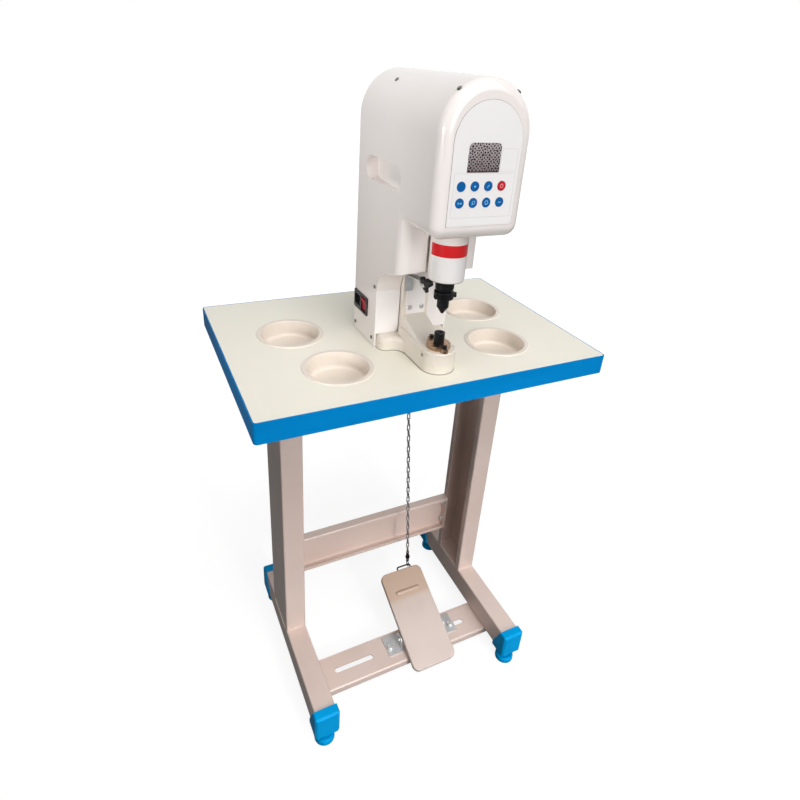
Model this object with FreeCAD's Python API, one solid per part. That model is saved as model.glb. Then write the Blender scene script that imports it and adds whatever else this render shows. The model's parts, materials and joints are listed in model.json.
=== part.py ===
import FreeCAD, Part
import math
import os
from FreeCAD import Vector, Rotation, Placement

# Foot-operated electric eyelet press on its own stand.  Millimetres, +Z up, the operator
# stands on the -Y side.  Sizes are worked out about the centre of the table, x = y = 0,
# with z = 0 on the floor.  The finished pieces are then moved along Y, so that the origin
# lies under the middle of the whole machine.

# ---------------------------------------------------------------- driving sizes
# Small clearances
FIT = 0.05                  # running fit of pins and shafts, on the radius
SEAT = 0.3                  # gap between pieces that lie against each other

# Table
TABLE_WIDTH = 600.0
TABLE_DEPTH = 400.0
TABLE_THICKNESS = 34.0
TABLE_HEIGHT = 720.0
BAND_THICKNESS = 2.0
CUP_RADIUS = 50.0
CUP_FLOOR_RADIUS = 46.0
CUP_RIM_RADIUS = 56.0
CUP_DEPTH = 28.0
CUP_WALL = 1.6
REAR_CUP_X = 181.0
REAR_CUP_Y = 45.0
FRONT_CUP_X = 146.0
FRONT_CUP_Y = -93.0

# Stand
COLUMN_X = 205.5            # centre of each column and foot beam
COLUMN_WIDTH = 40.0
COLUMN_DEPTH = 100.0
COLUMN_Y = 15.0
SHEET = 2.5                 # wall of columns and beams
COLUMN_LIP = 14.0
BEAM_HEIGHT = 52.0
BEAM_UNDERSIDE = 32.0
CAP_FRONT = -234.0
CAP_REAR = 150.0
CAP_WALL = 3.2
CAP_END_WALL = 4.0
CAP_TOP_LENGTH = 18.0
CAP_BOTTOM_LENGTH = 37.0
FOOT_FRONT_Y = -214.9
FOOT_REAR_Y = 130.9
FOOT_RADIUS = 19.0
FOOT_DISC = 12.0
FOOT_NECK_RADIUS = 8.0
FOOT_STUD_RADIUS = 5.0
FOOT_UP = 4.0               # upward travel left at the neck
CROSS_HEIGHT = 92.0
CROSS_DEPTH = 20.0
CROSS_BOTTOM = 148.0
CROSS_REAR = 64.0
CROSS_LIP = 8.0
CROSS_END_PLATE = 3.0
BAR_REAR = -85.0
BAR_WIDTH = 74.0
BAR_THICKNESS = 3.0
BAR_LIP = 12.0
SLOT_INNER = 68.0
SLOT_OUTER = 151.5
SLOT_WIDTH = 11.0

# Pedal
PIVOT_Y = -119.0
PIVOT_Z = 47.0
PIVOT_RADIUS = 4.0
PEDAL_X = 46.0
PEDAL_WIDTH = 98.5
PEDAL_FRONT = -73.0
PEDAL_REAR = 133.0
PEDAL_TOP = 17.0
PEDAL_RIM = 8.6
PEDAL_SHEET = 1.6
PEDAL_TILT = 23.0
PEDAL_TRAVEL = 10.0
PEDAL_CORNER = 14.0
BRACKET_SHEET = 2.5
BRACKET_GAP = 1.0
BAIL_WIRE = 3.5
BAIL_LEFT = 42.5
BAIL_RIGHT = 74.0
BAIL_REACH = 6.5

# Chain, from the pedal bail to the trip lever
CHAIN_WIRE = 2.3
CHAIN_PITCH = 13.2
CHAIN_WIDTH = 7.4
CHAIN_FOOT_X = 69.5

# Machine frame
HALF_WIDTH = 66.0           # hood, outside
HOOD_WALL = 3.0
HOOD_FRONT = -207.0
HOOD_REAR = 43.0
HOOD_HEIGHT = 415.0         # above the table
HOOD_TOP = TABLE_HEIGHT + HOOD_HEIGHT
HEAD_UNDERSIDE = TABLE_HEIGHT + 223.0
SKIRT_FRONT = -121.0
THROAT_Y = -46.0
THROAT_HEIGHT = TABLE_HEIGHT + 127.85   # where the sloping underside would meet the upright edge
UNDERSIDE_SLOPE = 16.5
THROAT_RADIUS = 40.0
CABINET_CORNER = 18.0
HEAD_CORNER = 17.0
HEAD_ROUNDING = 15.0
GRIP_REAR = 13.0
GRIP_FRONT = -106.0
GRIP_Z = TABLE_HEIGHT + 280.0
GRIP_HEIGHT = 34.0
GRIP_DEPTH_REAR = 18.0
GRIP_DEPTH_FRONT = 6.0
GRIP_WALL = 2.4
FLANGE_HEIGHT = 23.0
COLUMN_HALF = 23.0
NOSE_RADIUS = 27.5
NOSE_HEIGHT = 35.0
RAM_Y = -140.0
RAM_RADIUS = 12.0
STROKE = 30.0
BOSS_RADIUS = 24.0
BOSS_BOTTOM = TABLE_HEIGHT + 173.0
BOSS_TOP = HOOD_TOP - 157.0
SLEEVE_RADIUS = 27.0
SLEEVE_BOTTOM = TABLE_HEIGHT + 147.0
DIE_GAP = 31.5              # between upper and lower die at rest

# Drive
CAM_AXIS_Z = HOOD_TOP - 65.0
CAM_SHAFT_RADIUS = 7.5
CAM_BEARING_RADIUS = 16.0
CAM_LOW = 29.0              # camshaft axis to roller centre at rest
CAM_THICKNESS = 10.0
ROLLER_RADIUS = 9.0
ROLLER_WIDTH = 12.0
ROLLER_PIN_RADIUS = 4.0
MOTOR_X = -44.0
MOTOR_Z = TABLE_HEIGHT + 210.0
MOTOR_RADIUS = 17.8
CAM_PULLEY_RADIUS = 24.0
MOTOR_PULLEY_RADIUS = 8.0
PULLEY_WIDTH = 12.0
BELT_THICKNESS = 1.6
SPRING_X = 21.0
SPRING_RADIUS = 4.0

# Control panel
PANEL_HALF = 49.3
PANEL_BOTTOM = TABLE_HEIGHT + 242.0
PANEL_TOP = HOOD_TOP - 24.0
PANEL_THICKNESS = 2.5
PANEL_PROUD = 0.7
KEY_RADIUS = 6.2
KEY_COLUMNS = (-33.5, -13.7, 6.1, 26.1)
KEY_ROWS = (TABLE_HEIGHT + 291.5, TABLE_HEIGHT + 271.2)
KEY_TRAVEL = 0.4
WINDOW_X = -4.5
WINDOW_WIDTH = 47.0
WINDOW_BOTTOM = TABLE_HEIGHT + 308.0
WINDOW_TOP = TABLE_HEIGHT + 343.0

# Trip lever behind the machine column
TRIP_Y = -14.0
TRIP_Z = TABLE_HEIGHT + 58.9
TRIP_X = 28.9
TRIP_PLATE = 3.0
HITCH_Y = 25.4
HITCH_Z = TABLE_HEIGHT + 70.0
HITCH_HOLE_RADIUS = 4.3

# ---------------------------------------------------------------- derived sizes
TABLE_UNDERSIDE = TABLE_HEIGHT - TABLE_THICKNESS
BEAM_TOP = BEAM_UNDERSIDE + BEAM_HEIGHT
BEAM_FRONT = CAP_FRONT + CAP_END_WALL + SEAT
BEAM_REAR = CAP_REAR - CAP_END_WALL - SEAT
BAR_FRONT = BAR_REAR - BAR_WIDTH
BAR_TOP = BEAM_UNDERSIDE
INNER_FACE = COLUMN_X - COLUMN_WIDTH / 2.0
PEDAL_LEFT = PEDAL_X - PEDAL_WIDTH / 2.0
PEDAL_RIGHT = PEDAL_X + PEDAL_WIDTH / 2.0
HOOD_BOTTOM = TABLE_HEIGHT + 0.5
ARCH_Z = HOOD_TOP - HALF_WIDTH
INNER_HALF = HALF_WIDTH - HOOD_WALL
FLANGE_TOP = TABLE_HEIGHT + FLANGE_HEIGHT
NOSE_TOP = TABLE_HEIGHT + NOSE_HEIGHT
ROLLER_Z = CAM_AXIS_Z - CAM_LOW
PANEL_FRONT = HOOD_FRONT - PANEL_PROUD
PANEL_BACK = PANEL_FRONT + PANEL_THICKNESS
SHIFT_Y = -(CAP_FRONT + TABLE_DEPTH / 2.0) / 2.0


# ---------------------------------------------------------------- shape helpers
def place(plane, level, a, b):
    """Point at a, b of the named plane, at the level of its third axis."""
    if plane == "xy":
        return Vector(a, b, level)
    if plane == "xz":
        return Vector(a, level, b)
    return Vector(level, a, b)


def box(x0, x1, y0, y1, z0, z1):
    return Part.makeBox(x1 - x0, y1 - y0, z1 - z0, Vector(x0, y0, z0))


def rod(base, direction, radius, length):
    return Part.makeCylinder(radius, length, Vector(*base), Vector(*direction))


def ring(base, direction, outer, inner, length):
    return rod(base, direction, outer, length).cut(rod(base, direction, inner, length))


def corner(before, here, after, radius):
    """Start, middle and end of the arc that rounds one corner of an outline."""
    back = (before[0] - here[0], before[1] - here[1])
    ahead = (after[0] - here[0], after[1] - here[1])
    back_length = math.hypot(*back)
    ahead_length = math.hypot(*ahead)
    back = (back[0] / back_length, back[1] / back_length)
    ahead = (ahead[0] / ahead_length, ahead[1] / ahead_length)
    half = math.acos(back[0] * ahead[0] + back[1] * ahead[1]) / 2.0
    reach = radius / math.tan(half)
    middle = (back[0] + ahead[0], back[1] + ahead[1])
    length = math.hypot(*middle)
    depth = (radius / math.sin(half) - radius) / length
    start = (here[0] + back[0] * reach, here[1] + back[1] * reach)
    inside = (here[0] + middle[0] * depth, here[1] + middle[1] * depth)
    end = (here[0] + ahead[0] * reach, here[1] + ahead[1] * reach)
    return start, inside, end


def prism(plane, points, low, high, radii=None):
    """Solid between two levels whose outline has the given corners and corner radii."""
    count = len(points)
    if radii is None:
        radii = [0.0] * count
    if not isinstance(radii, (list, tuple)):
        radii = [radii] * count
    arcs = []
    for index in range(count):
        here = points[index]
        if radii[index] <= 0.0:
            arcs.append((here, None, here))
        else:
            following = points[(index + 1) % count]
            arcs.append(corner(points[index - 1], here, following, radii[index]))
    edges = []
    for index in range(count):
        start, inside, end = arcs[index]
        if inside is not None:
            three = [place(plane, low, *point) for point in (start, inside, end)]
            edges.append(Part.Arc(*three).toShape())
        line_start = place(plane, low, *end)
        line_end = place(plane, low, *arcs[(index + 1) % count][0])
        if line_start.distanceToPoint(line_end) > 1e-6:
            edges.append(Part.makeLine(line_start, line_end))
    face = Part.Face(Part.Wire(edges))
    return face.extrude(place(plane, high - low, 0.0, 0.0))


def block(plane, a0, a1, b0, b1, low, high, radii=0.0):
    """Prism with a rectangular outline."""
    points = [(a0, b0), (a1, b0), (a1, b1), (a0, b1)]
    return prism(plane, points, low, high, radii)


def revolved(points, centre_x, centre_y, radii=None):
    """Solid of revolution about an upright axis from an outline of radii and heights."""
    flat = prism("xz", points, 0.0, 1.0, radii)
    face = [f for f in flat.Faces if abs(f.CenterOfMass.y) < 1e-6][0]
    solid = face.revolve(Vector(0, 0, 0), Vector(0, 0, 1), 360)
    solid.translate(Vector(centre_x, centre_y, 0))
    return solid


def wire_rod(points, diameter, bend, closed=False):
    """Round wire bent through the points, with one bend radius at each corner."""
    count = len(points)
    path = []
    last = None
    for index in range(count):
        here = Vector(*points[index])
        inner = closed or 0 < index < count - 1
        if not inner:
            if last is not None:
                path.append(Part.makeLine(last, here))
            last = here
            continue
        back = (Vector(*points[index - 1]) - here).normalize()
        ahead = (Vector(*points[(index + 1) % count]) - here).normalize()
        half = math.acos(back.dot(ahead)) / 2.0
        reach = bend / math.tan(half)
        middle = (back + ahead).normalize()
        start = here + back * reach
        inside = here + middle * (bend / math.sin(half) - bend)
        end = here + ahead * reach
        if last is not None and last.distanceToPoint(start) > 1e-6:
            path.append(Part.makeLine(last, start))
        if last is None:
            first = start
        path.append(Part.Arc(start, inside, end).toShape())
        last = end
    if closed and last.distanceToPoint(first) > 1e-6:
        path.append(Part.makeLine(last, first))
    spine = Part.Wire(path)
    begin = path[0].valueAt(path[0].FirstParameter)
    tangent = path[0].tangentAt(path[0].FirstParameter)
    section = Part.Wire(Part.makeCircle(diameter / 2.0, begin, tangent))
    return spine.makePipeShell([section], True, False)


def mirrored(shape):
    return shape.mirror(Vector(0, 0, 0), Vector(1, 0, 0))


def joined(shapes):
    """One solid from pieces that overlap or share a face."""
    result = shapes[0]
    for shape in shapes[1:]:
        result = result.fuse(shape)
    return result.removeSplitter()


def together(shapes):
    """Separate solids kept in one file."""
    solids = []
    for shape in shapes:
        solids.extend(shape.Solids)
    return Part.makeCompound(solids)


def hexagon(base, direction, across, height):
    """Hexagonal prism, such as a nut, standing on its base point."""
    side = across / math.sqrt(3.0)
    points = []
    for index in range(6):
        angle = math.radians(60 * index)
        points.append((side * math.cos(angle), side * math.sin(angle)))
    solid = prism("xy", points, 0.0, height)
    solid.Placement = Placement(Vector(*base), Rotation(Vector(0, 0, 1), Vector(*direction)))
    return solid


def screw(under_head, direction, radius, length, head_radius, head_height):
    """Screw with a domed head; the shank runs from under the head along the direction."""
    outline = [(0.0, -head_height), (head_radius, -head_height), (head_radius, 0.0),
               (radius, 0.0), (radius, length), (0.0, length)]
    rounding = min(head_height, head_radius) * 0.6
    solid = revolved(outline, 0.0, 0.0, [0.0, rounding, 0.0, 0.0, 0.0, 0.0])
    solid.Placement = Placement(Vector(*under_head),
                                Rotation(Vector(0, 0, 1), Vector(*direction)))
    return solid


# ---------------------------------------------------------------- table
CUP_CENTRES = [(-REAR_CUP_X, REAR_CUP_Y), (REAR_CUP_X, REAR_CUP_Y),
               (-FRONT_CUP_X, FRONT_CUP_Y), (FRONT_CUP_X, FRONT_CUP_Y)]
MACHINE_BOLTS = [(-50.0, -30.0), (50.0, -30.0), (-45.0, 26.0), (50.0, 4.0)]
MACHINE_BOLT_RADIUS = 4.0
TABLE_SCREW_RADIUS = 3.0
TABLE_SCREW_LENGTH = 20.0
COLUMN_PLATE = 3.0
COLUMN_SCREW_INSET = 13.0   # from the column's front, clear of the cups above


def chain_point(z):
    """Point of the chain's centre line at a height."""
    share = (HITCH_Z - z) / (HITCH_Z - CHAIN_FOOT[2])
    x = HITCH_X + (CHAIN_FOOT[0] - HITCH_X) * share
    y = HITCH_Y + (CHAIN_FOOT[1] - HITCH_Y) * share
    return x, y


def pedal_point(forward, up):
    """Table-frame y and z of a point of the pedal, given along and square to its plate."""
    angle = math.radians(PEDAL_TILT)
    y = PIVOT_Y + forward * math.cos(angle) - up * math.sin(angle)
    z = PIVOT_Z + forward * math.sin(angle) + up * math.cos(angle)
    return y, z


BAIL_UP = PEDAL_TOP - 5.0
BAIL_CENTRE = pedal_point(PEDAL_REAR + BAIL_REACH, BAIL_UP)
HITCH_X = TRIP_X + TRIP_PLATE / 2.0
CHAIN_FOOT = (CHAIN_FOOT_X, BAIL_CENTRE[0], BAIL_CENTRE[1])
CHAIN_HOLE_RADIUS = 9.0
CHAIN_HOLE = chain_point(TABLE_HEIGHT - TABLE_THICKNESS / 2.0)
FLANGE_HOLE = chain_point(TABLE_HEIGHT + FLANGE_HEIGHT / 2.0)


def column_screw_points():
    """Where the wood screws rise through the column plates into the table."""
    points = []
    front = COLUMN_Y - COLUMN_DEPTH / 2.0
    for side in (-1, 1):
        for shift in (-9.5, 9.5):
            points.append((side * (COLUMN_X + shift), front + COLUMN_SCREW_INSET))
    return points


def table_top():
    """Laminated board with four round cut-outs and a hole for the chain."""
    half_x = TABLE_WIDTH / 2.0 - BAND_THICKNESS
    half_y = TABLE_DEPTH / 2.0 - BAND_THICKNESS
    board = block("xy", -half_x, half_x, -half_y, half_y, TABLE_UNDERSIDE, TABLE_HEIGHT, 4.0)
    up = (0, 0, 1)
    for x, y in CUP_CENTRES:
        hole = rod((x, y, TABLE_UNDERSIDE - 1), up, CUP_RADIUS + 0.2, TABLE_THICKNESS + 2)
        board = board.cut(hole)
    x, y = CHAIN_HOLE
    hole = rod((x, y, TABLE_UNDERSIDE - 1), up, CHAIN_HOLE_RADIUS, TABLE_THICKNESS + 2)
    board = board.cut(hole)
    for x, y in MACHINE_BOLTS:
        hole = rod((x, y, TABLE_UNDERSIDE - 1), up, MACHINE_BOLT_RADIUS + FIT,
                   TABLE_THICKNESS + 2)
        board = board.cut(hole)
    for x, y in column_screw_points():
        hole = rod((x, y, TABLE_UNDERSIDE - 1), up, TABLE_SCREW_RADIUS + FIT,
                   TABLE_SCREW_LENGTH + 1)
        board = board.cut(hole)
    return board


def edge_band():
    """Plastic band round the edge of the board."""
    half_x = TABLE_WIDTH / 2.0
    half_y = TABLE_DEPTH / 2.0
    outer = block("xy", -half_x, half_x, -half_y, half_y, TABLE_UNDERSIDE, TABLE_HEIGHT, 6.0)
    half_x = half_x - BAND_THICKNESS
    half_y = half_y - BAND_THICKNESS
    inner = block("xy", -half_x, half_x, -half_y, half_y, TABLE_UNDERSIDE - 1,
                  TABLE_HEIGHT + 1, 4.0)
    return outer.cut(inner)


def eyelet_cups():
    """Four shallow cups whose rims rest on the table."""
    top = TABLE_HEIGHT + CUP_WALL
    bottom = top - CUP_DEPTH
    outline = [(0.0, bottom), (CUP_FLOOR_RADIUS, bottom), (CUP_RADIUS, TABLE_HEIGHT),
               (CUP_RIM_RADIUS, TABLE_HEIGHT), (CUP_RIM_RADIUS, top),
               (CUP_RADIUS - CUP_WALL, top), (CUP_FLOOR_RADIUS - CUP_WALL, bottom + CUP_WALL),
               (0.0, bottom + CUP_WALL)]
    radii = [0.0, 6.0 + CUP_WALL, 0.0, 0.0, 1.2, 1.2, 6.0, 0.0]
    return together([revolved(outline, x, y, radii) for x, y in CUP_CENTRES])


# ---------------------------------------------------------------- stand
CROSS_BOLTS = [(CROSS_REAR - 8.0, CROSS_BOTTOM + 22.0),
               (CROSS_REAR - 8.0, CROSS_BOTTOM + CROSS_HEIGHT - 22.0)]
BAR_BOLTS = [BAR_REAR - 18.0, BAR_FRONT + 18.0]
STAND_BOLT_RADIUS = 3.0
NUT_ACROSS = 10.0
NUT_HEIGHT = 4.0


def column(side):
    """Lipped channel upright, open towards the middle, with a plate at its top."""
    low = COLUMN_Y - COLUMN_DEPTH / 2.0
    high = COLUMN_Y + COLUMN_DEPTH / 2.0
    outer = COLUMN_X + COLUMN_WIDTH / 2.0
    shell = block("xy", INNER_FACE, outer, low, high, BEAM_TOP, TABLE_UNDERSIDE, 3.0)
    hollow = block("xy", INNER_FACE + SHEET, outer - SHEET, low + SHEET, high - SHEET,
                   BEAM_TOP - 1, TABLE_UNDERSIDE + 1, 1.0)
    mouth = box(INNER_FACE - 1, INNER_FACE + SHEET + 1, low + COLUMN_LIP, high - COLUMN_LIP,
                BEAM_TOP - 1, TABLE_UNDERSIDE + 1)
    body = shell.cut(hollow).cut(mouth)
    plate = box(INNER_FACE + SHEET / 2.0, outer - SHEET / 2.0, low + SHEET / 2.0,
                high - SHEET / 2.0, TABLE_UNDERSIDE - COLUMN_PLATE, TABLE_UNDERSIDE)
    body = joined([body, plate])
    for x, y in column_screw_points():
        if x > 0:
            hole = rod((x, y, TABLE_UNDERSIDE - 10), (0, 0, 1), TABLE_SCREW_RADIUS + FIT, 20)
            body = body.cut(hole)
    for y, z in CROSS_BOLTS:
        hole = rod((INNER_FACE - 1, y, z), (1, 0, 0), STAND_BOLT_RADIUS + FIT, SHEET + 2)
        body = body.cut(hole)
    if side < 0:
        return mirrored(body)
    return body


def foot_beam(side):
    """Square-ended tube on the floor side, with weld nuts for the levelling studs."""
    half = COLUMN_WIDTH / 2.0
    shell = block("xz", COLUMN_X - half, COLUMN_X + half, BEAM_UNDERSIDE, BEAM_TOP,
                  BEAM_FRONT, BEAM_REAR, 3.0)
    hollow = block("xz", COLUMN_X - half + SHEET, COLUMN_X + half - SHEET,
                   BEAM_UNDERSIDE + SHEET, BEAM_TOP - SHEET, BEAM_FRONT - 1, BEAM_REAR + 1, 1.0)
    body = shell.cut(hollow)
    nuts = []
    for y in (FOOT_FRONT_Y, FOOT_REAR_Y):
        nuts.append(hexagon((COLUMN_X, y, BEAM_UNDERSIDE + SHEET), (0, 0, 1), 17.0, 8.0))
    body = joined([body] + nuts)
    for y in (FOOT_FRONT_Y, FOOT_REAR_Y):
        hole = rod((COLUMN_X, y, BEAM_UNDERSIDE - 1), (0, 0, 1), FOOT_STUD_RADIUS + FIT, 14)
        body = body.cut(hole)
    for y in BAR_BOLTS:
        hole = rod((COLUMN_X, y, BEAM_UNDERSIDE - 1), (0, 0, 1), STAND_BOLT_RADIUS + FIT,
                   SHEET + 2)
        body = body.cut(hole)
    if side < 0:
        return mirrored(body)
    return body


def end_cap():
    """Moulded cap on the front end of the right beam, cut back more at the top."""
    half = COLUMN_WIDTH / 2.0 + SEAT + CAP_WALL
    low = BEAM_UNDERSIDE - SEAT - CAP_WALL
    high = BEAM_TOP + SEAT + CAP_WALL
    shell = block("xz", COLUMN_X - half, COLUMN_X + half, low, high, CAP_FRONT,
                  CAP_FRONT + CAP_BOTTOM_LENGTH, 4.5)
    front = [e for e in shell.Edges
             if abs(e.BoundBox.YMax - CAP_FRONT) < 1e-3 and e.BoundBox.YLength < 1e-3]
    shell = shell.makeChamfer(3.6, front)
    inner = half - CAP_WALL
    hollow = block("xz", COLUMN_X - inner, COLUMN_X + inner, low + CAP_WALL, high - CAP_WALL,
                   CAP_FRONT + CAP_END_WALL, CAP_FRONT + CAP_BOTTOM_LENGTH + 1, 2.0)
    top_y = CAP_FRONT + CAP_TOP_LENGTH
    bottom_y = CAP_FRONT + CAP_BOTTOM_LENGTH
    slant = prism("yz", [(bottom_y, low - 0.01), (bottom_y + 1, low - 0.01),
                         (bottom_y + 1, high + 1), (top_y, high + 1), (top_y, high),
                         (bottom_y, low + 14.0)],
                  COLUMN_X - half - 1, COLUMN_X + half + 1)
    body = shell.cut(hollow).cut(slant)
    hole = rod((COLUMN_X, FOOT_FRONT_Y, low - 1), (0, 0, 1), FOOT_STUD_RADIUS + FIT, 10)
    return body.cut(hole)


def end_caps():
    """The same cap on both ends of both beams."""
    front = end_cap()
    middle = (CAP_FRONT + CAP_REAR) / 2.0
    rear = front.mirror(Vector(0, middle, 0), Vector(0, 1, 0))
    rear_low = BEAM_UNDERSIDE - SEAT - CAP_WALL
    plug_y = CAP_FRONT + CAP_REAR - FOOT_FRONT_Y
    if abs(plug_y - FOOT_REAR_Y) > 1e-6:
        rear = rear.cut(rod((COLUMN_X, FOOT_REAR_Y, rear_low - 1), (0, 0, 1),
                            FOOT_STUD_RADIUS + FIT, 10))
    return together([front, rear, mirrored(front), mirrored(rear)])


def levelling_foot(side, y):
    """Moulded disc on a threaded stud that turns in the beam's weld nut."""
    cap_low = BEAM_UNDERSIDE - SEAT - CAP_WALL
    neck_top = cap_low - FOOT_UP - 0.5
    outline = [(0.0, 0.0), (FOOT_RADIUS, 0.0), (FOOT_RADIUS, FOOT_DISC),
               (FOOT_NECK_RADIUS, FOOT_DISC), (FOOT_NECK_RADIUS, neck_top),
               (FOOT_STUD_RADIUS, neck_top), (FOOT_STUD_RADIUS, 60.0), (0.0, 60.0)]
    radii = [0.0, 1.5, 5.0, 2.0, 1.0, 0.0, 1.0, 0.0]
    return revolved(outline, side * COLUMN_X, y, radii)


def cross_beam():
    """Lipped channel between the columns, open to the front, with bolted end plates."""
    front = CROSS_REAR - CROSS_DEPTH
    top = CROSS_BOTTOM + CROSS_HEIGHT
    half = INNER_FACE - CROSS_END_PLATE
    shell = block("yz", front, CROSS_REAR, CROSS_BOTTOM, top, -half, half, 2.5)
    hollow = block("yz", front + SHEET, CROSS_REAR - SHEET, CROSS_BOTTOM + SHEET, top - SHEET,
                   -half - 1, half + 1, 0.8)
    mouth = box(-half - 1, half + 1, front - 1, front + SHEET + 1, CROSS_BOTTOM + CROSS_LIP,
                top - CROSS_LIP)
    body = shell.cut(hollow).cut(mouth)
    plates = []
    for x in (-INNER_FACE, half):
        plates.append(block("yz", front, CROSS_REAR, CROSS_BOTTOM, top, x,
                            x + CROSS_END_PLATE, 2.5))
    body = joined([body] + plates)
    for y, z in CROSS_BOLTS:
        hole = rod((-INNER_FACE - 1, y, z), (1, 0, 0), STAND_BOLT_RADIUS + FIT,
                   2 * INNER_FACE + 2)
        body = body.cut(hole)
    return body


def pedal_bar():
    """Pressed bar between the beams with two long slots and two round holes."""
    half = COLUMN_X + 12.5
    bottom = BAR_TOP - BAR_LIP - BAR_THICKNESS
    shell = block("yz", BAR_FRONT, BAR_REAR, bottom, BAR_TOP, -half, half, [0, 0, 4.0, 4.0])
    hollow = block("yz", BAR_FRONT + BAR_THICKNESS, BAR_REAR - BAR_THICKNESS, bottom - 1,
                   BAR_TOP - BAR_THICKNESS, -half - 1, half + 1, [0, 0, 1.0, 1.0])
    body = shell.cut(hollow)
    middle = (BAR_FRONT + BAR_REAR) / 2.0
    for sign in (-1, 1):
        ends = sorted((sign * SLOT_INNER, sign * SLOT_OUTER))
        body = body.cut(block("xy", ends[0], ends[1], middle - SLOT_WIDTH / 2.0,
                              middle + SLOT_WIDTH / 2.0, bottom - 1, BAR_TOP + 1,
                              SLOT_WIDTH / 2.0 - 1e-3))
        body = body.cut(rod((sign * 28.0, middle, bottom - 1), (0, 0, 1), 4.2, 30))
        for y in BAR_BOLTS:
            body = body.cut(rod((sign * COLUMN_X, y, bottom - 1), (0, 0, 1),
                                STAND_BOLT_RADIUS + FIT, 30))
    return body


def stand_fasteners():
    """Bolts of the bar and the cross beam, wood screws and the machine's own bolts."""
    pieces = []
    for sign in (-1, 1):
        for y in BAR_BOLTS:
            low = BAR_TOP - BAR_THICKNESS
            pieces.append(screw((sign * COLUMN_X, y, low), (0, 0, 1), STAND_BOLT_RADIUS,
                                BAR_THICKNESS + SHEET + NUT_HEIGHT + 2, 5.5, 4.0))
            nut = hexagon((sign * COLUMN_X, y, BAR_TOP + SHEET), (0, 0, 1), NUT_ACROSS,
                          NUT_HEIGHT)
            pieces.append(nut.cut(rod((sign * COLUMN_X, y, BAR_TOP), (0, 0, 1),
                                      STAND_BOLT_RADIUS + FIT, 20)))
        for y, z in CROSS_BOLTS:
            head = sign * (INNER_FACE + SHEET)
            pieces.append(screw((head, y, z), (-sign, 0, 0), STAND_BOLT_RADIUS,
                                SHEET + CROSS_END_PLATE + NUT_HEIGHT + 2, 5.0, 4.0))
            face = sign * (INNER_FACE - CROSS_END_PLATE)
            nut = hexagon((face, y, z), (-sign, 0, 0), NUT_ACROSS, NUT_HEIGHT)
            pieces.append(nut.cut(rod((face + sign, y, z), (-sign, 0, 0),
                                      STAND_BOLT_RADIUS + FIT, 20)))
    for x, y in column_screw_points():
        pieces.append(screw((x, y, TABLE_UNDERSIDE - COLUMN_PLATE), (0, 0, 1),
                            TABLE_SCREW_RADIUS, COLUMN_PLATE + TABLE_SCREW_LENGTH - 0.5, 5.5, 3.0))
    for x, y in MACHINE_BOLTS:
        pieces.append(screw((x, y, TABLE_UNDERSIDE), (0, 0, 1), MACHINE_BOLT_RADIUS,
                            TABLE_THICKNESS + FLANGE_HEIGHT - 6.0, 9.0, 5.0))
    return pieces


# ---------------------------------------------------------------- pedal
BRACKET_FRONT = -139.0
BRACKET_REAR = -94.0
BRACKET_BASE = 29.2
BRACKET_EAR = 10.0
LEFT_BOLT_X = -28.0
RIGHT_BOLT_X = 118.0
BRACKET_BOLT_RADIUS = 4.0
BRACKET_EAR_TAPER = 16.0


def pedal_bracket(side):
    """Zinc angle bracket: flat base on the bar and a rounded ear that carries the pin."""
    if side < 0:
        ear_in = PEDAL_LEFT - BRACKET_GAP
        ear_out = ear_in - BRACKET_SHEET
        base_ends = sorted((ear_in, ear_in - BRACKET_BASE - BRACKET_SHEET))
    else:
        ear_in = PEDAL_RIGHT + BRACKET_GAP
        ear_out = ear_in + BRACKET_SHEET
        base_ends = sorted((ear_in, ear_in + BRACKET_BASE + BRACKET_SHEET))
    far = base_ends[0] if side < 0 else base_ends[1]
    base = block("xy", base_ends[0], base_ends[1], BRACKET_FRONT, BRACKET_REAR, BAR_TOP,
                 BAR_TOP + BRACKET_SHEET, 0.0)
    ends = sorted((ear_in, ear_out))
    top = PIVOT_Z + BRACKET_EAR
    ear = prism("yz", [(PIVOT_Y - BRACKET_EAR_TAPER, BAR_TOP), (PIVOT_Y + BRACKET_EAR_TAPER,
                                                               BAR_TOP),
                       (PIVOT_Y + BRACKET_EAR, top), (PIVOT_Y - BRACKET_EAR, top)],
                ends[0], ends[1], [0.0, 0.0, 7.0, 7.0])
    body = joined([base, ear])
    body = body.cut(rod((ends[0] - 1, PIVOT_Y, PIVOT_Z), (1, 0, 0), PIVOT_RADIUS + FIT, 6))
    bolt_x = LEFT_BOLT_X if side < 0 else RIGHT_BOLT_X
    middle = (BAR_FRONT + BAR_REAR) / 2.0
    body = body.cut(rod((bolt_x, middle, BAR_TOP - 1), (0, 0, 1), BRACKET_BOLT_RADIUS + FIT, 8))
    return body


def bracket_bolts():
    """One bolt with its nut through each pedal bracket and the bar."""
    pieces = []
    middle = (BAR_FRONT + BAR_REAR) / 2.0
    for x in (LEFT_BOLT_X, RIGHT_BOLT_X):
        top = BAR_TOP + BRACKET_SHEET
        length = BRACKET_SHEET + BAR_THICKNESS + 8.0
        pieces.append(screw((x, middle, top), (0, 0, -1), BRACKET_BOLT_RADIUS, length, 6.5, 5.0))
        low = BAR_TOP - BAR_THICKNESS
        nut = hexagon((x, middle, low), (0, 0, -1), 13.0, 6.0)
        pieces.append(nut.cut(rod((x, middle, low + 1), (0, 0, -1),
                                  BRACKET_BOLT_RADIUS + FIT, 20)))
    return pieces


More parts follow.
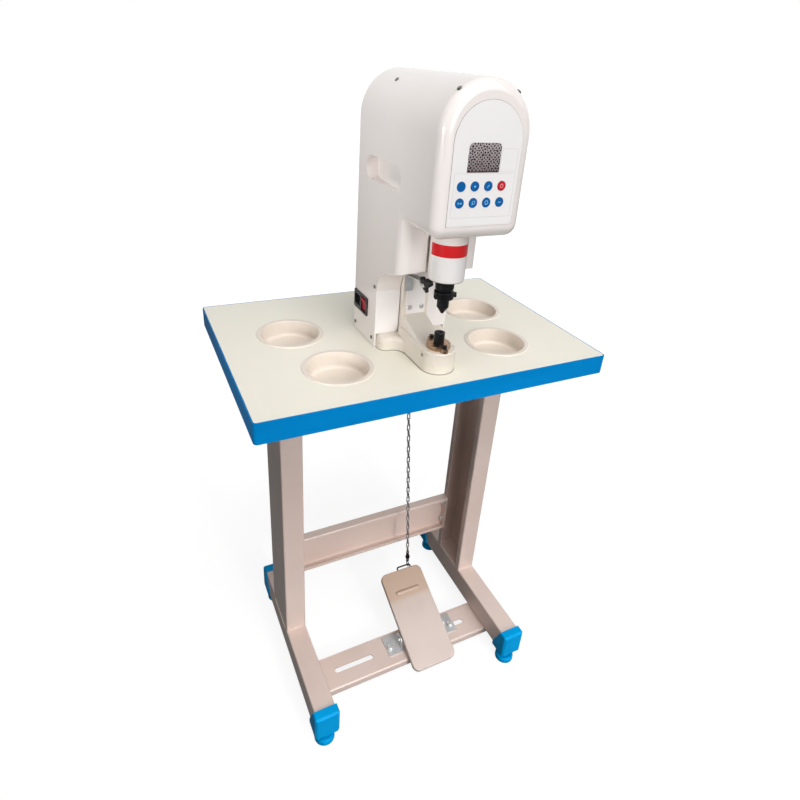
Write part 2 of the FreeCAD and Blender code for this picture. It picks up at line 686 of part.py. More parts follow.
def pedal_pin():
    """Headed pivot pin through both ears, closed by a retaining ring."""
    left = PEDAL_LEFT - BRACKET_GAP - BRACKET_SHEET
    right = PEDAL_RIGHT + BRACKET_GAP + BRACKET_SHEET
    body = rod((left - 2.5, PIVOT_Y, PIVOT_Z), (1, 0, 0), PIVOT_RADIUS, right - left + 6.0)
    head = rod((left - 2.5, PIVOT_Y, PIVOT_Z), (1, 0, 0), 6.5, 2.5)
    clip = rod((right + 0.1, PIVOT_Y, PIVOT_Z), (1, 0, 0), 6.5, 1.4)
    return joined([body, head, clip])


def pedal():
    """Pressed foot plate with a raised rib, hinge lugs, a sleeve and a wire bail."""
    y_mid = (PEDAL_FRONT + PEDAL_REAR) / 2.0
    shell = block("xy", PEDAL_LEFT, PEDAL_RIGHT, PEDAL_FRONT, PEDAL_REAR, PEDAL_RIM, PEDAL_TOP,
                  PEDAL_CORNER)
    edges = [e for e in shell.Edges if e.BoundBox.ZMin > PEDAL_TOP - 1e-3]
    shell = shell.makeFillet(3.0, edges)
    hollow = block("xy", PEDAL_LEFT + PEDAL_SHEET, PEDAL_RIGHT - PEDAL_SHEET,
                   PEDAL_FRONT + PEDAL_SHEET, PEDAL_REAR - PEDAL_SHEET, PEDAL_RIM - 1,
                   PEDAL_TOP - PEDAL_SHEET, PEDAL_CORNER - PEDAL_SHEET)
    edges = [e for e in hollow.Edges if e.BoundBox.ZMin > PEDAL_TOP - PEDAL_SHEET - 1e-3]
    hollow = hollow.makeFillet(1.4, edges)
    rib_y = y_mid + 54.5
    rib = block("xy", PEDAL_X - 29.0, PEDAL_X + 29.0, rib_y - 4.0, rib_y + 4.0,
                PEDAL_TOP - 1.0, PEDAL_TOP + 1.6, 3.99)
    edges = [e for e in rib.Edges if e.BoundBox.ZMin > PEDAL_TOP + 1.6 - 1e-3]
    rib = rib.makeFillet(1.2, edges)
    pieces = [shell.cut(hollow), rib]
    lug = [(-20.0, PEDAL_RIM + 3.0), (-8.0, -8.0), (8.0, -8.0), (20.0, PEDAL_RIM + 3.0)]
    for x in (PEDAL_LEFT, PEDAL_RIGHT - PEDAL_SHEET):
        pieces.append(prism("yz", lug, x, x + PEDAL_SHEET, [0.0, 6.0, 6.0, 0.0]))
    pieces.append(rod((PEDAL_LEFT, 0, 0), (1, 0, 0), PIVOT_RADIUS + 2.5, PEDAL_WIDTH))
    bail_y = PEDAL_REAR + BAIL_REACH
    bail = wire_rod([(BAIL_LEFT, PEDAL_REAR - 1.0, BAIL_UP), (BAIL_LEFT, bail_y, BAIL_UP),
                     (BAIL_RIGHT, bail_y, BAIL_UP), (BAIL_RIGHT, PEDAL_REAR - 1.0, BAIL_UP)],
                    BAIL_WIRE, 3.5)
    pieces.append(bail)
    body = joined(pieces)
    body = body.cut(rod((PEDAL_LEFT - 1, 0, 0), (1, 0, 0), PIVOT_RADIUS + FIT,
                        PEDAL_WIDTH + 2))
    body.Placement = Placement(Vector(0, PIVOT_Y, PIVOT_Z),
                               Rotation(Vector(1, 0, 0), PEDAL_TILT))
    return body


# ---------------------------------------------------------------- chain
HOOK_BODY = 18.0
HOOK_RADIUS = 5.2
EYE_LENGTH = 10.0
EYE_WIRE = 2.0
RING_LENGTH = 18.0
RING_WIDTH = 9.6
RING_SLACK = 0.9            # between the bail and the ring that it carries
HITCH_LENGTH = 17.0
HITCH_WIDTH = 10.6
LINK_GAP = 0.3


def chain_frame():
    """Direction of the chain from the trip lever down to the pedal, and its length."""
    top = Vector(HITCH_X, HITCH_Y, HITCH_Z)
    foot = Vector(*CHAIN_FOOT)
    run = foot - top
    return top, run.normalize(), top.distanceToPoint(foot)


def chain_placement(distance, turn=0.0):
    """Frame at a distance down the chain, its z axis pointing up the chain."""
    top, direction, _ = chain_frame()
    turned = Placement(Vector(0, 0, 0), Rotation(Vector(0, 0, 1), turn))
    aimed = Placement(top + direction * distance, Rotation(Vector(0, 0, -1), direction))
    return aimed.multiply(turned)


def chain_link(distance, turn, length, width, wire):
    """Oval link whose centre lies at a distance down the chain, turned about it."""
    half = (length - wire) / 2.0
    side = (width - wire) / 2.0
    points = [(-side, 0, -half), (side, 0, -half), (side, 0, half), (-side, 0, half)]
    link = wire_rod(points, wire, side * 0.999, True)
    link.Placement = chain_placement(distance, turn)
    return link


def chain_layout():
    """Where the row of links starts and ends, their pitch and their number."""
    _, _, length = chain_frame()
    start = HITCH_LENGTH - 1.5 * EYE_WIRE
    ring_low = BAIL_WIRE / 2.0 + RING_SLACK + EYE_WIRE
    ring_top = length + ring_low - RING_LENGTH
    lower_eye = ring_top + 2 * EYE_WIRE + LINK_GAP - EYE_LENGTH
    upper_eye = lower_eye + EYE_WIRE - HOOK_BODY + EYE_WIRE - EYE_LENGTH
    end = upper_eye + EYE_WIRE
    count = int(round((end - start) / CHAIN_PITCH))
    return start, end, (end - start) / count, count, ring_top, lower_eye, upper_eye


def top_shackle():
    """Long link through the trip lever's eye."""
    centre = (HITCH_LENGTH - EYE_WIRE) / 2.0
    return chain_link(centre, 0.0, HITCH_LENGTH, HITCH_WIDTH, EYE_WIRE)


def chain():
    """Oval links, each a quarter turn from the one before."""
    start, _, pitch, count, _, _, _ = chain_layout()
    length = pitch + 2 * CHAIN_WIRE + LINK_GAP
    links = []
    for index in range(count):
        centre = start + pitch * (index + 0.5)
        turn = 0.0 if index % 2 else 90.0
        links.append(chain_link(centre, turn, length, CHAIN_WIDTH, CHAIN_WIRE))
    return together(links)


def chain_hook():
    """Dark swivel body with an eye at each end, and the ring that holds the bail."""
    _, _, _, count, ring_top, lower_eye, upper_eye = chain_layout()
    turn = 90.0 if (count - 1) % 2 else 0.0
    upper = chain_link(upper_eye + EYE_LENGTH / 2.0, turn, EYE_LENGTH, CHAIN_WIDTH, EYE_WIRE)
    lower = chain_link(lower_eye + EYE_LENGTH / 2.0, 0.0, EYE_LENGTH, CHAIN_WIDTH, EYE_WIRE)
    body_top = upper_eye + EYE_LENGTH - EYE_WIRE
    outline = [(0.0, 0.0), (2.6, 0.0), (HOOK_RADIUS, -HOOK_BODY * 0.6), (2.8, -HOOK_BODY),
               (0.0, -HOOK_BODY)]
    body = revolved(outline, 0.0, 0.0, [0.0, 1.0, 5.0, 1.0, 0.0])
    body.Placement = chain_placement(body_top)
    ring_centre = ring_top + RING_LENGTH / 2.0
    loop = chain_link(ring_centre, 90.0, RING_LENGTH, RING_WIDTH, EYE_WIRE)
    return together([joined([upper, body, lower]), loop])


# ---------------------------------------------------------------- casting
BEARING_WIDTH = 10.0
BLOCK_FRONT = -118.0
BLOCK_REAR = -98.0
BLOCK_BOTTOM = HOOD_TOP - 185.0
BLOCK_HALF = 25.0
ARM_UNDERSIDE = TABLE_HEIGHT + 180.0
FRAME_TOP = HOOD_TOP - 40.0
COLUMN_FRONT = -55.0
COLUMN_REAR = 20.0
SPRING_Y = -127.0
SPRING_BOTTOM = HOOD_TOP - 112.2
POST_Z = HOOD_TOP - 45.0
POST_RADIUS = 2.5
DIE_BASE = NOSE_TOP
RAMP_TOP = TABLE_HEIGHT + 56.0
RAMP_FRONT = -113.0
PLATE_THICKNESS = 1.5
PLATE_BOTTOM = TABLE_HEIGHT + 57.0
PLATE_TOP = TABLE_HEIGHT + 128.0
PLATE_SCREW_Z = PLATE_BOTTOM + 11.0
PLATE_SCREWS = [(-11.0, PLATE_SCREW_Z), (11.0, PLATE_SCREW_Z)]
SIDE_SCREWS = [(36.0, TABLE_HEIGHT + 12.0), (-34.0, TABLE_HEIGHT + 12.6),
               (-38.5, TABLE_HEIGHT + 103.0)]
SCREW_RADIUS = 1.6
TRIP_PIN_RADIUS = 3.0
TRIP_ANGLE = 31.5
SWITCH_FRONT = -40.0
SWITCH_REAR = -20.0
PLUNGER_Z = TABLE_HEIGHT + 68.6


def base_casting():
    """Foot of the casting: a flange that sweeps in to the round-nosed lower arm."""
    half = INNER_HALF - 0.5
    front = COLUMN_FRONT - 11.0
    nose = RAM_Y - NOSE_RADIUS
    right = [(58.0, 38.0), (58.0, 24.0), (half, 24.0), (half, front), (NOSE_RADIUS, front),
             (NOSE_RADIUS, nose)]
    rounding = [3.0, 0.0, 0.0, 13.5, 21.4, NOSE_RADIUS - 0.01]
    left = [(-x, y) for x, y in reversed(right)]
    flange = prism("xy", right + left, TABLE_HEIGHT, FLANGE_TOP,
                   rounding + list(reversed(rounding)))
    edges = [e for e in flange.Edges
             if e.BoundBox.ZMin > FLANGE_TOP - 1e-3 and e.BoundBox.YMax < 24.5
             and not (e.BoundBox.YLength < 1e-3 and e.BoundBox.YMin > 20)]
    flange = flange.makeFillet(7.0, edges)
    arm = block("xy", -NOSE_RADIUS, NOSE_RADIUS, nose, COLUMN_FRONT, TABLE_HEIGHT, NOSE_TOP,
                [NOSE_RADIUS - 0.01, NOSE_RADIUS - 0.01, 0.0, 0.0])
    edges = [e for e in arm.Edges
             if e.BoundBox.ZMin > NOSE_TOP - 1e-3 and e.BoundBox.YMin < COLUMN_FRONT - 1]
    arm = arm.makeFillet(2.5, edges)
    ramp = prism("yz", [(COLUMN_FRONT + 1, NOSE_TOP - 10), (COLUMN_FRONT + 1, RAMP_TOP),
                        (RAMP_FRONT, NOSE_TOP - 2), (RAMP_FRONT, NOSE_TOP - 10)],
                 -COLUMN_HALF, COLUMN_HALF)
    edges = [e for e in ramp.Edges if e.BoundBox.ZLength > 15 and e.BoundBox.YLength > 40]
    ramp = ramp.makeChamfer(4.0, edges)
    return [flange, arm, ramp]


def casting():
    """C-shaped cast frame: foot, column, upper arm, ram boss and camshaft seats."""
    profile = [(COLUMN_REAR, FLANGE_TOP - 5), (COLUMN_REAR, FRAME_TOP),
               (BLOCK_REAR, FRAME_TOP), (BLOCK_REAR, ARM_UNDERSIDE),
               (COLUMN_FRONT, ARM_UNDERSIDE), (COLUMN_FRONT, FLANGE_TOP - 5)]
    frame = prism("yz", profile, -COLUMN_HALF, COLUMN_HALF, [0.0, 8.0, 0.0, 8.0, 26.0, 0.0])
    head = box(-BLOCK_HALF, BLOCK_HALF, BLOCK_FRONT, BLOCK_REAR, BLOCK_BOTTOM, FRAME_TOP)
    web = box(-16.0, 16.0, RAM_Y + 10.0, BLOCK_FRONT + 2.0, BLOCK_BOTTOM, BOSS_TOP)
    boss = rod((0, RAM_Y, BOSS_BOTTOM), (0, 0, 1), BOSS_RADIUS, BOSS_TOP - BOSS_BOTTOM)
    posts = []
    for x in (-SPRING_X, SPRING_X):
        posts.append(rod((x, BLOCK_FRONT + 1, POST_Z), (0, -1, 0), POST_RADIUS,
                         BLOCK_FRONT - SPRING_Y + 5.0))
    pivot = [rod((COLUMN_HALF - 1, TRIP_Y, TRIP_Z), (1, 0, 0), TRIP_PIN_RADIUS,
                 TRIP_X + TRIP_PLATE - COLUMN_HALF + 3.0),
             rod((COLUMN_HALF - 1, TRIP_Y, TRIP_Z), (1, 0, 0), 6.0,
                 TRIP_X - COLUMN_HALF + 0.7),
             rod((TRIP_X + TRIP_PLATE + SEAT, TRIP_Y, TRIP_Z), (1, 0, 0), 5.0, 1.2)]
    body = joined(base_casting() + [frame, head, web, boss] + posts + pivot)
    up = (0, 0, 1)
    along = (0, 1, 0)
    cuts = [rod((0, RAM_Y, BOSS_BOTTOM - 1), up, RAM_RADIUS + FIT, 200),
            rod((0, BLOCK_FRONT - 1, CAM_AXIS_Z), along, 9.5, 200),
            rod((0, BLOCK_FRONT - 1, CAM_AXIS_Z), along, CAM_BEARING_RADIUS + FIT,
                BEARING_WIDTH + 1),
            rod((0, COLUMN_REAR - BEARING_WIDTH, CAM_AXIS_Z), along,
                CAM_BEARING_RADIUS + FIT, BEARING_WIDTH + 1),
            rod((FLANGE_HOLE[0], FLANGE_HOLE[1], TABLE_HEIGHT - 1), up, CHAIN_HOLE_RADIUS,
                FLANGE_HEIGHT + 2),
            rod((0, RAM_Y, DIE_BASE - 12), up, 5.0 + FIT, 20),
            rod((-NOSE_RADIUS - 1, RAM_Y, TABLE_HEIGHT + 25), (1, 0, 0), 2.2, 6.0)]
    for x, y in ((19.7, -145.4), (-21.0, -146.7)):
        cuts.append(rod((x, y, NOSE_TOP - 5), up, 1.6, 10))
    for x, y in MACHINE_BOLTS:
        cuts.append(rod((x, y, TABLE_HEIGHT - 1), up, MACHINE_BOLT_RADIUS + FIT,
                        FLANGE_HEIGHT - 4.0))
    for x, z in PLATE_SCREWS:
        cuts.append(rod((x, COLUMN_FRONT - 1, z), along, 2.0 + FIT, 12))
    y, z = SIDE_SCREWS[1]
    for sign in (-1, 1):
        cuts.append(rod((sign * (HALF_WIDTH + 1), y, z), (-sign, 0, 0), SCREW_RADIUS + FIT,
                        14))
    for cut in cuts:
        body = body.cut(cut)
    return body


def column_plate():
    """Bright wear plate on the front of the column, with its two screws."""
    half = 17.0
    front = COLUMN_FRONT - PLATE_THICKNESS
    plate = prism("xz", [(-half, PLATE_BOTTOM), (half, PLATE_BOTTOM), (half, PLATE_TOP),
                         (-half + 9.0, PLATE_TOP), (-half + 9.0, PLATE_TOP - 6.0),
                         (-half, PLATE_TOP - 6.0)], front, COLUMN_FRONT)
    pieces = []
    for x, z in PLATE_SCREWS:
        plate = plate.cut(rod((x, front - 1, z), (0, 1, 0), 2.0 + FIT, 4))
        pieces.append(screw((x, front, z), (0, 1, 0), 2.0, 11.0, 4.2, 1.6))
    return together([plate] + pieces)


# ---------------------------------------------------------------- hood
def arch(half, bottom, top, low, high, foot=0.0):
    """Upright prism along Y with a half-round top."""
    return block("xz", -half, half, bottom, top, low, high, [foot, foot, half - 0.01,
                                                             half - 0.01])


def hood_form(inset, open_rear):
    """Filled form of the hood; the inner form leaves the wall and opens at the rear."""
    half = HALF_WIDTH - inset
    top = HOOD_TOP - inset
    front = HOOD_FRONT + inset
    rear = HOOD_REAR + open_rear
    foot = HOOD_BOTTOM - open_rear
    under = HEAD_UNDERSIDE + inset
    head = arch(half, under, top, front, rear, HEAD_CORNER - inset)
    edges = [e for e in head.Edges if e.BoundBox.YMax < front + 1e-3]
    head = head.makeFillet(HEAD_ROUNDING - inset, edges)
    skirt = SKIRT_FRONT + inset
    corner_radius = CABINET_CORNER - inset
    plan = block("xy", -half, half, skirt, rear, foot, ARCH_Z,
                 [corner_radius, corner_radius, 0.0, 0.0])
    slope = math.radians(UNDERSIDE_SLOPE)
    lift = inset / math.cos(slope)
    throat = THROAT_Y + inset
    low_z = THROAT_HEIGHT + lift - inset * math.tan(slope)
    high_z = THROAT_HEIGHT + lift + (THROAT_Y - skirt) * math.tan(slope)
    side = prism("yz", [(rear, foot), (rear, ARCH_Z), (skirt, ARCH_Z), (skirt, high_z),
                        (throat, low_z), (throat, foot)], -half, half,
                 [0.0, 0.0, 0.0, 5.0 - inset, THROAT_RADIUS + inset, 0.0])
    return joined([head, plan.common(side)])


def grip_form(side, grow):
    """Finger pocket in the side of the head, deep at the rear and shallow at the front."""
    half = GRIP_HEIGHT / 2.0 + grow
    long = block("yz", GRIP_FRONT - grow, GRIP_REAR + grow, GRIP_Z - half, GRIP_Z + half,
                 HALF_WIDTH - 40.0, HALF_WIDTH + 1.0, half - 0.01)
    run = GRIP_REAR - GRIP_FRONT
    rate = (GRIP_DEPTH_REAR - GRIP_DEPTH_FRONT) / run
    front = HALF_WIDTH - GRIP_DEPTH_FRONT - grow + rate * 20.0
    rear = HALF_WIDTH - GRIP_DEPTH_REAR - grow - rate * 20.0
    wedge = prism("xy", [(HALF_WIDTH + 1, GRIP_FRONT - 20), (HALF_WIDTH + 1, GRIP_REAR + 20),
                         (rear, GRIP_REAR + 20), (front, GRIP_FRONT - 20)],
                  GRIP_Z - half, GRIP_Z + half)
    form = long.common(wedge)
    if side < 0:
        return mirrored(form)
    return form


SHOULDER_Y = [-194.0, -26.0]
SHOULDER_LIFT = 51.0        # above the centre of the arch


def shoulder_screws():
    """Start point and inward direction of the four screws high on the hood."""
    across = math.sqrt(HALF_WIDTH ** 2 - SHOULDER_LIFT ** 2)
    places = []
    for sign in (-1, 1):
        for y in SHOULDER_Y:
            inward = (-sign * across / HALF_WIDTH, 0.0, -SHOULDER_LIFT / HALF_WIDTH)
            places.append(((sign * across, y, ARCH_Z + SHOULDER_LIFT), inward))
    return places


SWITCH_Z = TABLE_HEIGHT + 57.0
SWITCH_HALF_HEIGHT = 14.0
MODULE_FRONT = -13.0
MODULE_REAR = 40.0


def hood():
    """Moulded shell from the table to the arched top, with finger pockets."""
    body = hood_form(0.0, 0.0).cut(hood_form(HOOD_WALL, 8.0))
    outer = hood_form(0.0, 0.0)
    for side in (-1, 1):
        lining = grip_form(side, GRIP_WALL).common(outer)
        body = body.fuse(lining)
    bosses = []
    for start, inward in shoulder_screws():
        base = Vector(*start) + Vector(*inward) * (HOOD_WALL - 0.5)
        bosses.append(rod(tuple(base), inward, 3.6, 8.5))
    body = joined([body] + bosses)
    for side in (-1, 1):
        body = body.cut(grip_form(side, 0.0))
    slot = COLUMN_HALF + 1.5
    panel_half = PANEL_HALF + SEAT
    ledge = 4.0
    cuts = [rod((0, RAM_Y, SLEEVE_BOTTOM - 10), (0, 0, 1), SLEEVE_RADIUS + 3.5,
                HEAD_UNDERSIDE - SLEEVE_BOTTOM + 10),
            rod((0, RAM_Y, HEAD_UNDERSIDE - 1), (0, 0, 1), SLEEVE_RADIUS + 0.6, 10),
            box(-slot, slot, SKIRT_FRONT + 8.0, THROAT_Y + 12.0, TABLE_HEIGHT + 80.0,
                THROAT_HEIGHT + 40.0),
            box(-INNER_HALF, INNER_HALF, THROAT_Y - 1, THROAT_Y + HOOD_WALL + 1,
                HOOD_BOTTOM - 1, COVER_TOP),
            box(-HALF_WIDTH - 1, HALF_WIDTH + 1, THROAT_Y - 1, THROAT_Y + COVER_SHEET,
                FLANGE_TOP, COVER_TOP),
            arch(panel_half, PANEL_BOTTOM - SEAT, PANEL_TOP + SEAT, HOOD_FRONT - 1,
                 PANEL_BACK, 0.0),
            arch(panel_half - ledge, PANEL_BOTTOM + ledge, PANEL_TOP - ledge, HOOD_FRONT - 1,
                 HOOD_FRONT + HOOD_WALL + 1, 0.0),
            box(-HALF_WIDTH - 1, -INNER_HALF + 1, MODULE_FRONT - 0.1, MODULE_REAR + 0.1,
                SWITCH_Z - SWITCH_HALF_HEIGHT - 0.1, SWITCH_Z + SWITCH_HALF_HEIGHT + 0.1)]
    for sign in (-1, 1):
        for y, z in SIDE_SCREWS:
            cuts.append(rod((sign * (HALF_WIDTH + 1), y, z), (-sign, 0, 0),
                            SCREW_RADIUS + FIT, 6))
    for start, inward in shoulder_screws():
        cuts.append(rod(tuple(Vector(*start) - Vector(*inward)), inward, SCREW_RADIUS + FIT,
                        11.0))
    for cut in cuts:
        body = body.cut(cut)
    return body.removeSplitter()


COVER_SHEET = 1.5
COVER_TOP = TABLE_HEIGHT + 98.0
COVER_INNER = 24.5


def lower_front_cover():
    """Two sheet panels beside the column, each folded back inside the hood."""
    left = HALF_WIDTH
    tab_out = INNER_HALF - 0.1
    face = prism("xz", [(COVER_INNER, FLANGE_TOP + SEAT), (left, FLANGE_TOP + SEAT),
                        (left, COVER_TOP - SEAT), (COVER_INNER, COVER_TOP - SEAT)],
                 THROAT_Y, THROAT_Y + COVER_SHEET, [6.0, 0.0, 0.0, 0.0])
    tab = box(tab_out - COVER_SHEET, tab_out, THROAT_Y + COVER_SHEET - 0.5, THROAT_Y + 14.0,
              FLANGE_TOP + 2.0, COVER_TOP - SEAT)
    ear = box(tab_out - COVER_SHEET, tab_out, THROAT_Y + COVER_SHEET + 2.0, THROAT_Y + 14.0,
              COVER_TOP - 2.0, COVER_TOP + 10.0)
    body = joined([face, tab, ear])
    y, z = SIDE_SCREWS[2]
    body = body.cut(rod((INNER_HALF - 5, y, z), (1, 0, 0), SCREW_RADIUS + FIT, 10))
    return together([body, mirrored(body)])


LOUVRE_BOTTOM = TABLE_HEIGHT + 130.0
LOUVRE_PITCH = 14.0
REAR_TABS = ((HOOD_BOTTOM + 3.0, TABLE_HEIGHT + 33.0),
             (TABLE_HEIGHT + 160.0, TABLE_HEIGHT + 240.0))


def rear_panel():
    """Arched sheet that closes the hood, with louvre slots and folded tabs."""
    half = INNER_HALF - SEAT
    back = HOOD_REAR - 0.5
    front = back - 2.0
    body = arch(half, HOOD_BOTTOM + SEAT, HOOD_TOP - HOOD_WALL - SEAT, front, back)
    tabs = []
    tab_out = INNER_HALF - 0.1
    for sign in (-1, 1):
        for low, high in REAR_TABS:
            ends = sorted((sign * (tab_out - 1.8), sign * tab_out))
            tabs.append(box(ends[0], ends[1], front - 12.0, back, low, high))
    body = joined([body] + tabs)
    for index in range(9):
        z = LOUVRE_BOTTOM + LOUVRE_PITCH * index
        slot = block("xz", -34.0, 34.0, z, z + 4.5, front - 1, back + 1, 2.2)
        body = body.cut(slot)
    y, z = SIDE_SCREWS[0]
    body = body.cut(rod((-HALF_WIDTH, y, z), (1, 0, 0), SCREW_RADIUS + FIT,
                        2 * HALF_WIDTH))
    return body


def cover_screws():
    """Domed screws on the sides and shoulders of the hood."""
    pieces = []
    for sign in (-1, 1):
        for y, z in SIDE_SCREWS:
            pieces.append(screw((sign * HALF_WIDTH, y, z), (-sign, 0, 0), SCREW_RADIUS, 6.5,
                                3.2, 1.4))
    for start, inward in shoulder_screws():
        pieces.append(screw(start, inward, SCREW_RADIUS, 9.5, 3.2, 1.4))
    return together(pieces)


# ---------------------------------------------------------------- mains switch
ROCKER_HALF = 10.0
ROCKER_HEIGHT = 11.0
ROCKER_PIVOT_X = -62.0
ROCKER_SWING = 9.0


def switch_module():
    """Bezel and body with a rocker well in front and a three-pin inlet behind it."""
    low = SWITCH_Z - SWITCH_HALF_HEIGHT
    high = SWITCH_Z + SWITCH_HALF_HEIGHT
    bezel = block("yz", MODULE_FRONT - 1.5, MODULE_REAR + 1.0, low - 2.0, high + 2.0,
                  -HALF_WIDTH - 2.0, -HALF_WIDTH, 3.0)
    body = box(-HALF_WIDTH, -HALF_WIDTH + 18.0, MODULE_FRONT, MODULE_REAR, low, high)
    module = joined([bezel, body])
    well_half = ROCKER_HALF + 0.4
    well = box(-HALF_WIDTH - 3.0, -HALF_WIDTH + 10.0, -well_half, well_half,
               SWITCH_Z - ROCKER_HEIGHT - 1.8, SWITCH_Z + ROCKER_HEIGHT + 1.8)
    inlet = block("yz", 15.5, 38.5, SWITCH_Z - 9.0, SWITCH_Z + 9.0, -HALF_WIDTH - 3.0,
                  -HALF_WIDTH + 12.0, [1.0, 5.0, 5.0, 1.0])
    module = module.cut(well).cut(inlet)
    module = module.cut(rod((ROCKER_PIVOT_X, -12.2, SWITCH_Z), (0, 1, 0), 1.5 + FIT, 24.4))
    prongs = []
    for y, z in ((22.0, SWITCH_Z - 4.0), (22.0, SWITCH_Z + 4.0), (31.0, SWITCH_Z)):
        prongs.append(box(-HALF_WIDTH + 1.0, -HALF_WIDTH + 13.0, y - 1.6, y + 1.6, z - 0.9,
                          z + 0.9))
    return joined([module] + prongs)


def rocker():
    """Red rocker, dished on its face, resting in one of its two positions."""
    face = -HALF_WIDTH - 1.6
    profile = [(face, SWITCH_Z - ROCKER_HEIGHT), (face + 1.2, SWITCH_Z),
               (face, SWITCH_Z + ROCKER_HEIGHT), (face + 6.6, SWITCH_Z + ROCKER_HEIGHT),
               (face + 8.6, SWITCH_Z), (face + 6.6, SWITCH_Z - ROCKER_HEIGHT)]
    body = prism("xz", profile, -ROCKER_HALF, ROCKER_HALF, [0.8, 0.0, 0.8, 0.5, 0.0, 0.5])
    pin = rod((ROCKER_PIVOT_X, -12.0, SWITCH_Z), (0, 1, 0), 1.5, 24.0)
    body = joined([body, pin])
    body.rotate(Vector(ROCKER_PIVOT_X, 0, SWITCH_Z), Vector(0, 1, 0), -ROCKER_SWING)
    return body


# ---------------------------------------------------------------- control panel
def front_panel():
    """Arched plate with a window and eight key holes, standing on the hood's ledge."""
    body = arch(PANEL_HALF, PANEL_BOTTOM, PANEL_TOP, PANEL_FRONT, PANEL_BACK, 2.0)
    window = block("xz", WINDOW_X - WINDOW_WIDTH / 2.0, WINDOW_X + WINDOW_WIDTH / 2.0,
                   WINDOW_BOTTOM, WINDOW_TOP, PANEL_FRONT - 1, PANEL_BACK + 1, 1.0)
    body = body.cut(window)
    for x in KEY_COLUMNS:
        for z in KEY_ROWS:
            body = body.cut(rod((x, PANEL_FRONT - 1, z), (0, 1, 0), KEY_RADIUS + 0.1, 6))
    posts = []
    for x, z in BOARD_POSTS:
        posts.append(rod((x, PANEL_BACK - 0.5, z), (0, 1, 0), 2.4, BOARD_FRONT - PANEL_BACK
                         + 0.5))
    return joined([body] + posts)


BOARD_FRONT = -200.0
BOARD_THICKNESS = 1.6
POST_LOW = PANEL_BOTTOM + 10.0
POST_HIGH = HOOD_TOP - 85.0
BOARD_POSTS = [(-41.0, POST_LOW), (41.0, POST_LOW), (-40.0, POST_HIGH), (40.0, POST_HIGH)]
KEY_FLANGE = 1.0
BOARD_HALF = 44.0
BOARD_BOTTOM = TABLE_HEIGHT + 248.0
BOARD_TOP = HOOD_TOP - 65.0


def display_window():
    """Display block that fills the window and stands on the control board."""
    gap = 0.15
    half = WINDOW_WIDTH / 2.0 - gap
    body = block("xz", WINDOW_X - half, WINDOW_X + half, WINDOW_BOTTOM + gap,
                 WINDOW_TOP - gap, PANEL_FRONT - 0.2, BOARD_FRONT, 0.9)
    return body


def control_key(column_index, row_index):
    """Round key with a retaining flange behind the panel."""
    x = KEY_COLUMNS[column_index]
    z = KEY_ROWS[row_index]
    flange = PANEL_BACK + 0.2
    cap = rod((x, PANEL_FRONT - 0.7, z), (0, 1, 0), KEY_RADIUS, flange - PANEL_FRONT + 1.2)
    edges = [e for e in cap.Edges if e.BoundBox.YMax < PANEL_FRONT - 0.6]
    cap = cap.makeFillet(0.5, edges)
    return joined([cap, rod((x, flange, z), (0, 1, 0), KEY_RADIUS + 1.0, KEY_FLANGE)])


def control_board():
    """Circuit board with one small push switch behind each key."""
    body = block("xz", -BOARD_HALF, BOARD_HALF, BOARD_BOTTOM, BOARD_TOP, BOARD_FRONT,
                 BOARD_FRONT + BOARD_THICKNESS, 3.0)
    pieces = [body]
    reach = PANEL_BACK + 0.2 + KEY_FLANGE + KEY_TRAVEL + 0.1
    for x in KEY_COLUMNS:
        for z in KEY_ROWS:
            pieces.append(box(x - 3.0, x + 3.0, reach + 1.2, BOARD_FRONT, z - 3.0, z + 3.0))
            pieces.append(rod((x, reach, z), (0, 1, 0), 1.8, 1.5))
    return joined(pieces)


# ---------------------------------------------------------------- ram and dies
HOLDER_BOTTOM = TABLE_HEIGHT + 130.0
COLLAR_BOTTOM = TABLE_HEIGHT + 116.0
DIE_BOTTOM = TABLE_HEIGHT + 102.0
DIE_TIP = TABLE_HEIGHT + 91.5
FORK_BOTTOM = HOOD_TOP - 123.0
FORK_TOP = HOOD_TOP - 107.0
FORK_HALF = 12.0
FORK_ARM = 5.0
SLEEVE_TOP = BLOCK_BOTTOM - 2.0     # the sleeve stops just below the casting's block


def ram_sleeve():
    """Plain guard tube pushed on to the ram boss."""
    outer = rod((0, RAM_Y, SLEEVE_BOTTOM), (0, 0, 1), SLEEVE_RADIUS,
                SLEEVE_TOP - SLEEVE_BOTTOM)
    edges = [e for e in outer.Edges if e.BoundBox.ZMax < SLEEVE_BOTTOM + 1e-3]
    outer = outer.makeFillet(1.2, edges)
    bore = rod((0, RAM_Y, SLEEVE_BOTTOM - 1), (0, 0, 1), BOSS_RADIUS + FIT,
               SLEEVE_TOP - SLEEVE_BOTTOM + 2)
    return outer.cut(bore)


